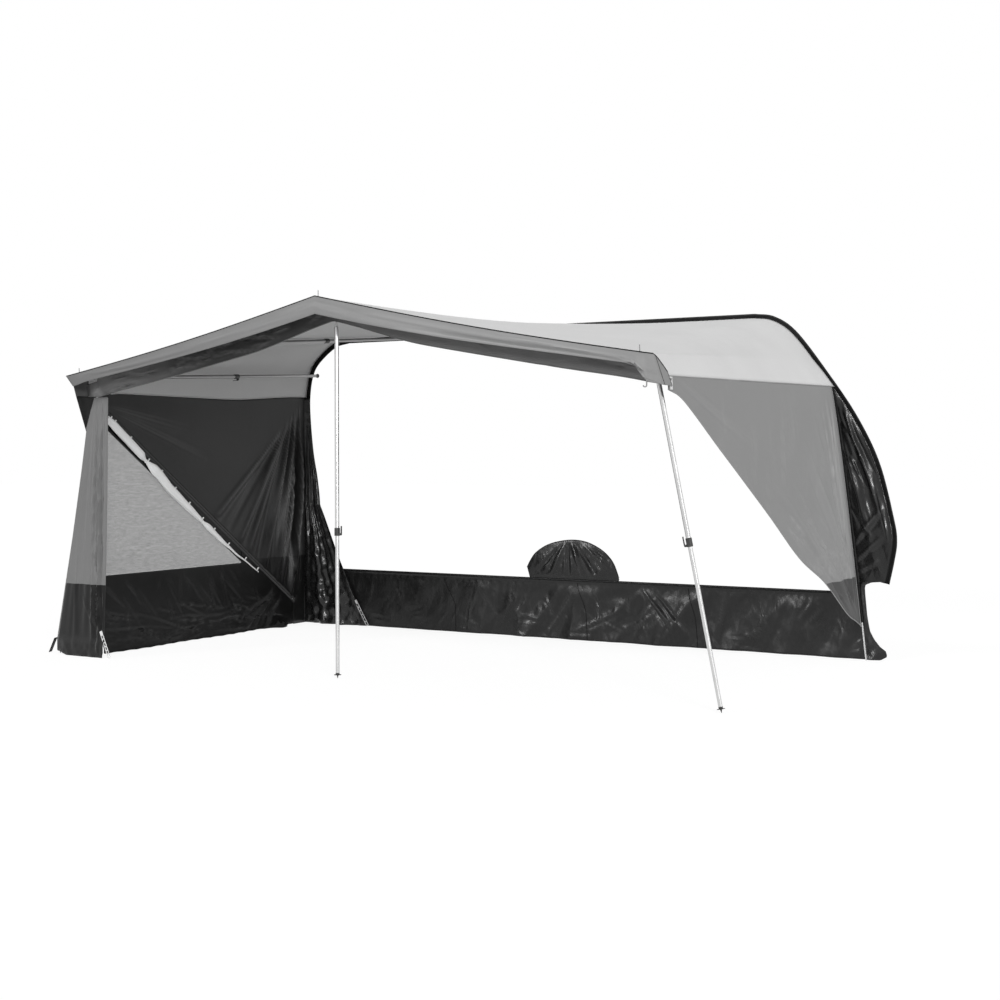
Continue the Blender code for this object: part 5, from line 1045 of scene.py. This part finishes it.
def right_rear_panel():
    flap = (
        (0.985, 0.62), (0.955, 0.34), (0.9, 0.28), (0.55, 0.26), (0.37, 0.31), (0.265, 0.47), (0.17, 0.72),
        (0.12, 0.96), (0.055, 1), (0, 0.62),
    )
    start_z = 0.552
    upper = np.linspace(RIGHT_TOP - 0.008, start_z, 110)
    place = np.linspace(0, len(flap) - 1, 50)
    lower, wide = [np.interp(place, range(len(flap)), column) for column in zip(*flap)]
    height = np.hstack([upper, lower * start_z])[:, None]
    edge = np.hstack([rail_x(RIGHT_RAIL, upper) - TOUCH, right_rear_x(lower * start_z) - 0.012 + 0.15 * wide])
    height[-1] = 0.002
    s = shares(60).T
    x, z = mix(right_rear_x(height) - 0.012, edge[:, None], s), height + 0 * s
    low = 1 - np.minimum(height / start_z, 1)
    lines = [
        (2.46, 1.75, 2.74, 1.02, 20, 22), (2.44, 1.6, 2.66, 0.8, 18, 18), (2.52, 1.75, 2.78, 1.25, 16, 14),
        (2.45, 0.7, 2.76, 1.1, 18, 20), (2.46, 0.62, 2.74, 0.86, 16, 18), (2.5, 0.58, 2.72, 0.7, 14, 14),
        (2.44, 1.3, 2.5, 0.6, 14, 14),
    ]
    lines += random_creases(22, (2.42, 2.8), (0.6, 1.7), 115, 16, 0.35, 10, 10, 61)
    fold = 0.01 + creases(x, z, lines) + 0.02 * facets(x, z, 0.1, 62, 3, 112)
    crush = 0.014 * (facets(x, z, 0.055, 63) + 0.5)
    fold = np.maximum(fold, 0) * hump(s) ** 0.7 * (1 - low) + crush * low * hump(s + 0.1)
    grid = points(x, -mix(0.016, SEAT, s) - np.maximum(fold, 0), z)
    sheet("right_rear_cloth", grid, [GLOSS], ["right_rear_panel"])
    tube("right_rear_edge", grid[::2, -1] - (0, 0.0008, 0), 0.0022, GLOSS)


SLOT_LOOKS = {
    "aluminium": ALUMINIUM, "clamp_plastic": BLACK_PLASTIC, "white_plastic": WHITE_PLASTIC, "steel": STEEL,
}


def dress_kept_nodes():
    """Kept parts of the frame take better materials by their slots; the rafters take a darker copy of the aluminium
    as painted shade, and the toggle has its own.
    """
    slots = {p["node"]: p["material_slot"] for p in frame["record"]["subparts"]}
    for name, obj in frame["nodes"].items():
        if obj.hide_render:
            continue
        look = GREY_PLASTIC if name == "corner_toggle" else SLOT_LOOKS[slots[name]]
        obj.data.materials.clear()
        obj.data.materials.append(SHADED_RAFTER_METAL if look is ALUMINIUM and "rafter" in name else look)


# Camera, light and ground
LENS_MM = 53.06
SENSOR_MM = 36
CAMERA_AT = (5.52, -10.213, 1.402)
CAMERA_TURN = (88.43, 0, 29.82)
LAMPS = (("key", 1, 11, (57, 0, 40)), ("rake", 1, 7, (78, 0, 50)), ("fill", 0.85, 9, (73, 0, -28)))
FLOOR_HALF = 60
FLOOR_DROP = 0.0008


def placed(name, data, location, turn=(0, 0, 0)):
    obj = bpy.data.objects.new(name, data)
    obj.location = location
    obj.rotation_euler = [math.radians(v) for v in turn]
    bpy.context.scene.collection.objects.link(obj)
    return obj


def seen_by_camera(tree, *more):
    """1 for rays from the camera and from the other named kinds, and 0 for the rest."""
    path = node(tree, "LightPath").outputs
    seen = path["Is Camera Ray"]
    for kind in more:
        seen = math_node("MAXIMUM", seen, path[kind])
    return seen


def stage():
    scene = bpy.context.scene
    scene.view_settings.view_transform = "Standard"
    camera = bpy.data.cameras.new("camera")
    camera.lens = LENS_MM
    camera.sensor_width = SENSOR_MM
    camera.clip_end = 100
    scene.camera = placed("camera", camera, SHIFT + CAMERA_AT, CAMERA_TURN)
    world = bpy.data.worlds.new("world")
    scene.world = world
    world.use_nodes = True
    tree = world.node_tree
    bright = seen_by_camera(tree, "Is Glossy Ray", "Is Transmission Ray")
    fill(tree.nodes["Background"], Color=shade(1), Strength=plus(times(bright, 0.62), 0.38))
    for name, energy, size, turn in LAMPS:
        lamp = bpy.data.lights.new(name, "SUN")
        lamp.energy = energy
        lamp.angle = math.radians(size)
        placed(name, lamp, (0, 0, 0), turn)
    mesh = bpy.data.meshes.new("floor")
    corners = [(x * FLOOR_HALF, y * FLOOR_HALF, 0) for x, y in ((-1, -1), (1, -1), (1, 1), (-1, 1))]
    mesh.from_pydata(corners, [], [(0, 1, 2, 3)])
    floor = placed("floor", mesh, (0, 0, SHIFT[2] - FLOOR_DROP))
    # A white ground that glows to the camera and still takes shadows
    material, tree, shader = tree_of("floor_look")
    fill(shader, Base_Color=shade(0.86), Roughness=1, Specular_IOR_Level=0)
    glow = node(tree, "Emission", Strength=1.1)
    blend = node(tree, "MixShader", Fac=times(seen_by_camera(tree, "Is Glossy Ray"), 0.82))
    feed(blend.inputs[1], shader.outputs[0])
    feed(blend.inputs[2], glow.outputs[0])
    feed(tree.nodes["Material Output"].inputs["Surface"], blend.outputs[0])
    mesh.materials.append(material)


for build in (stage, roof, valance, inner_strip, left_wall, zip_details, blind, door_panel, wing, left_rear_panel,
              rail_band, skirt, arch_cover, right_wall, right_rear_panel, dress_kept_nodes):
    build()
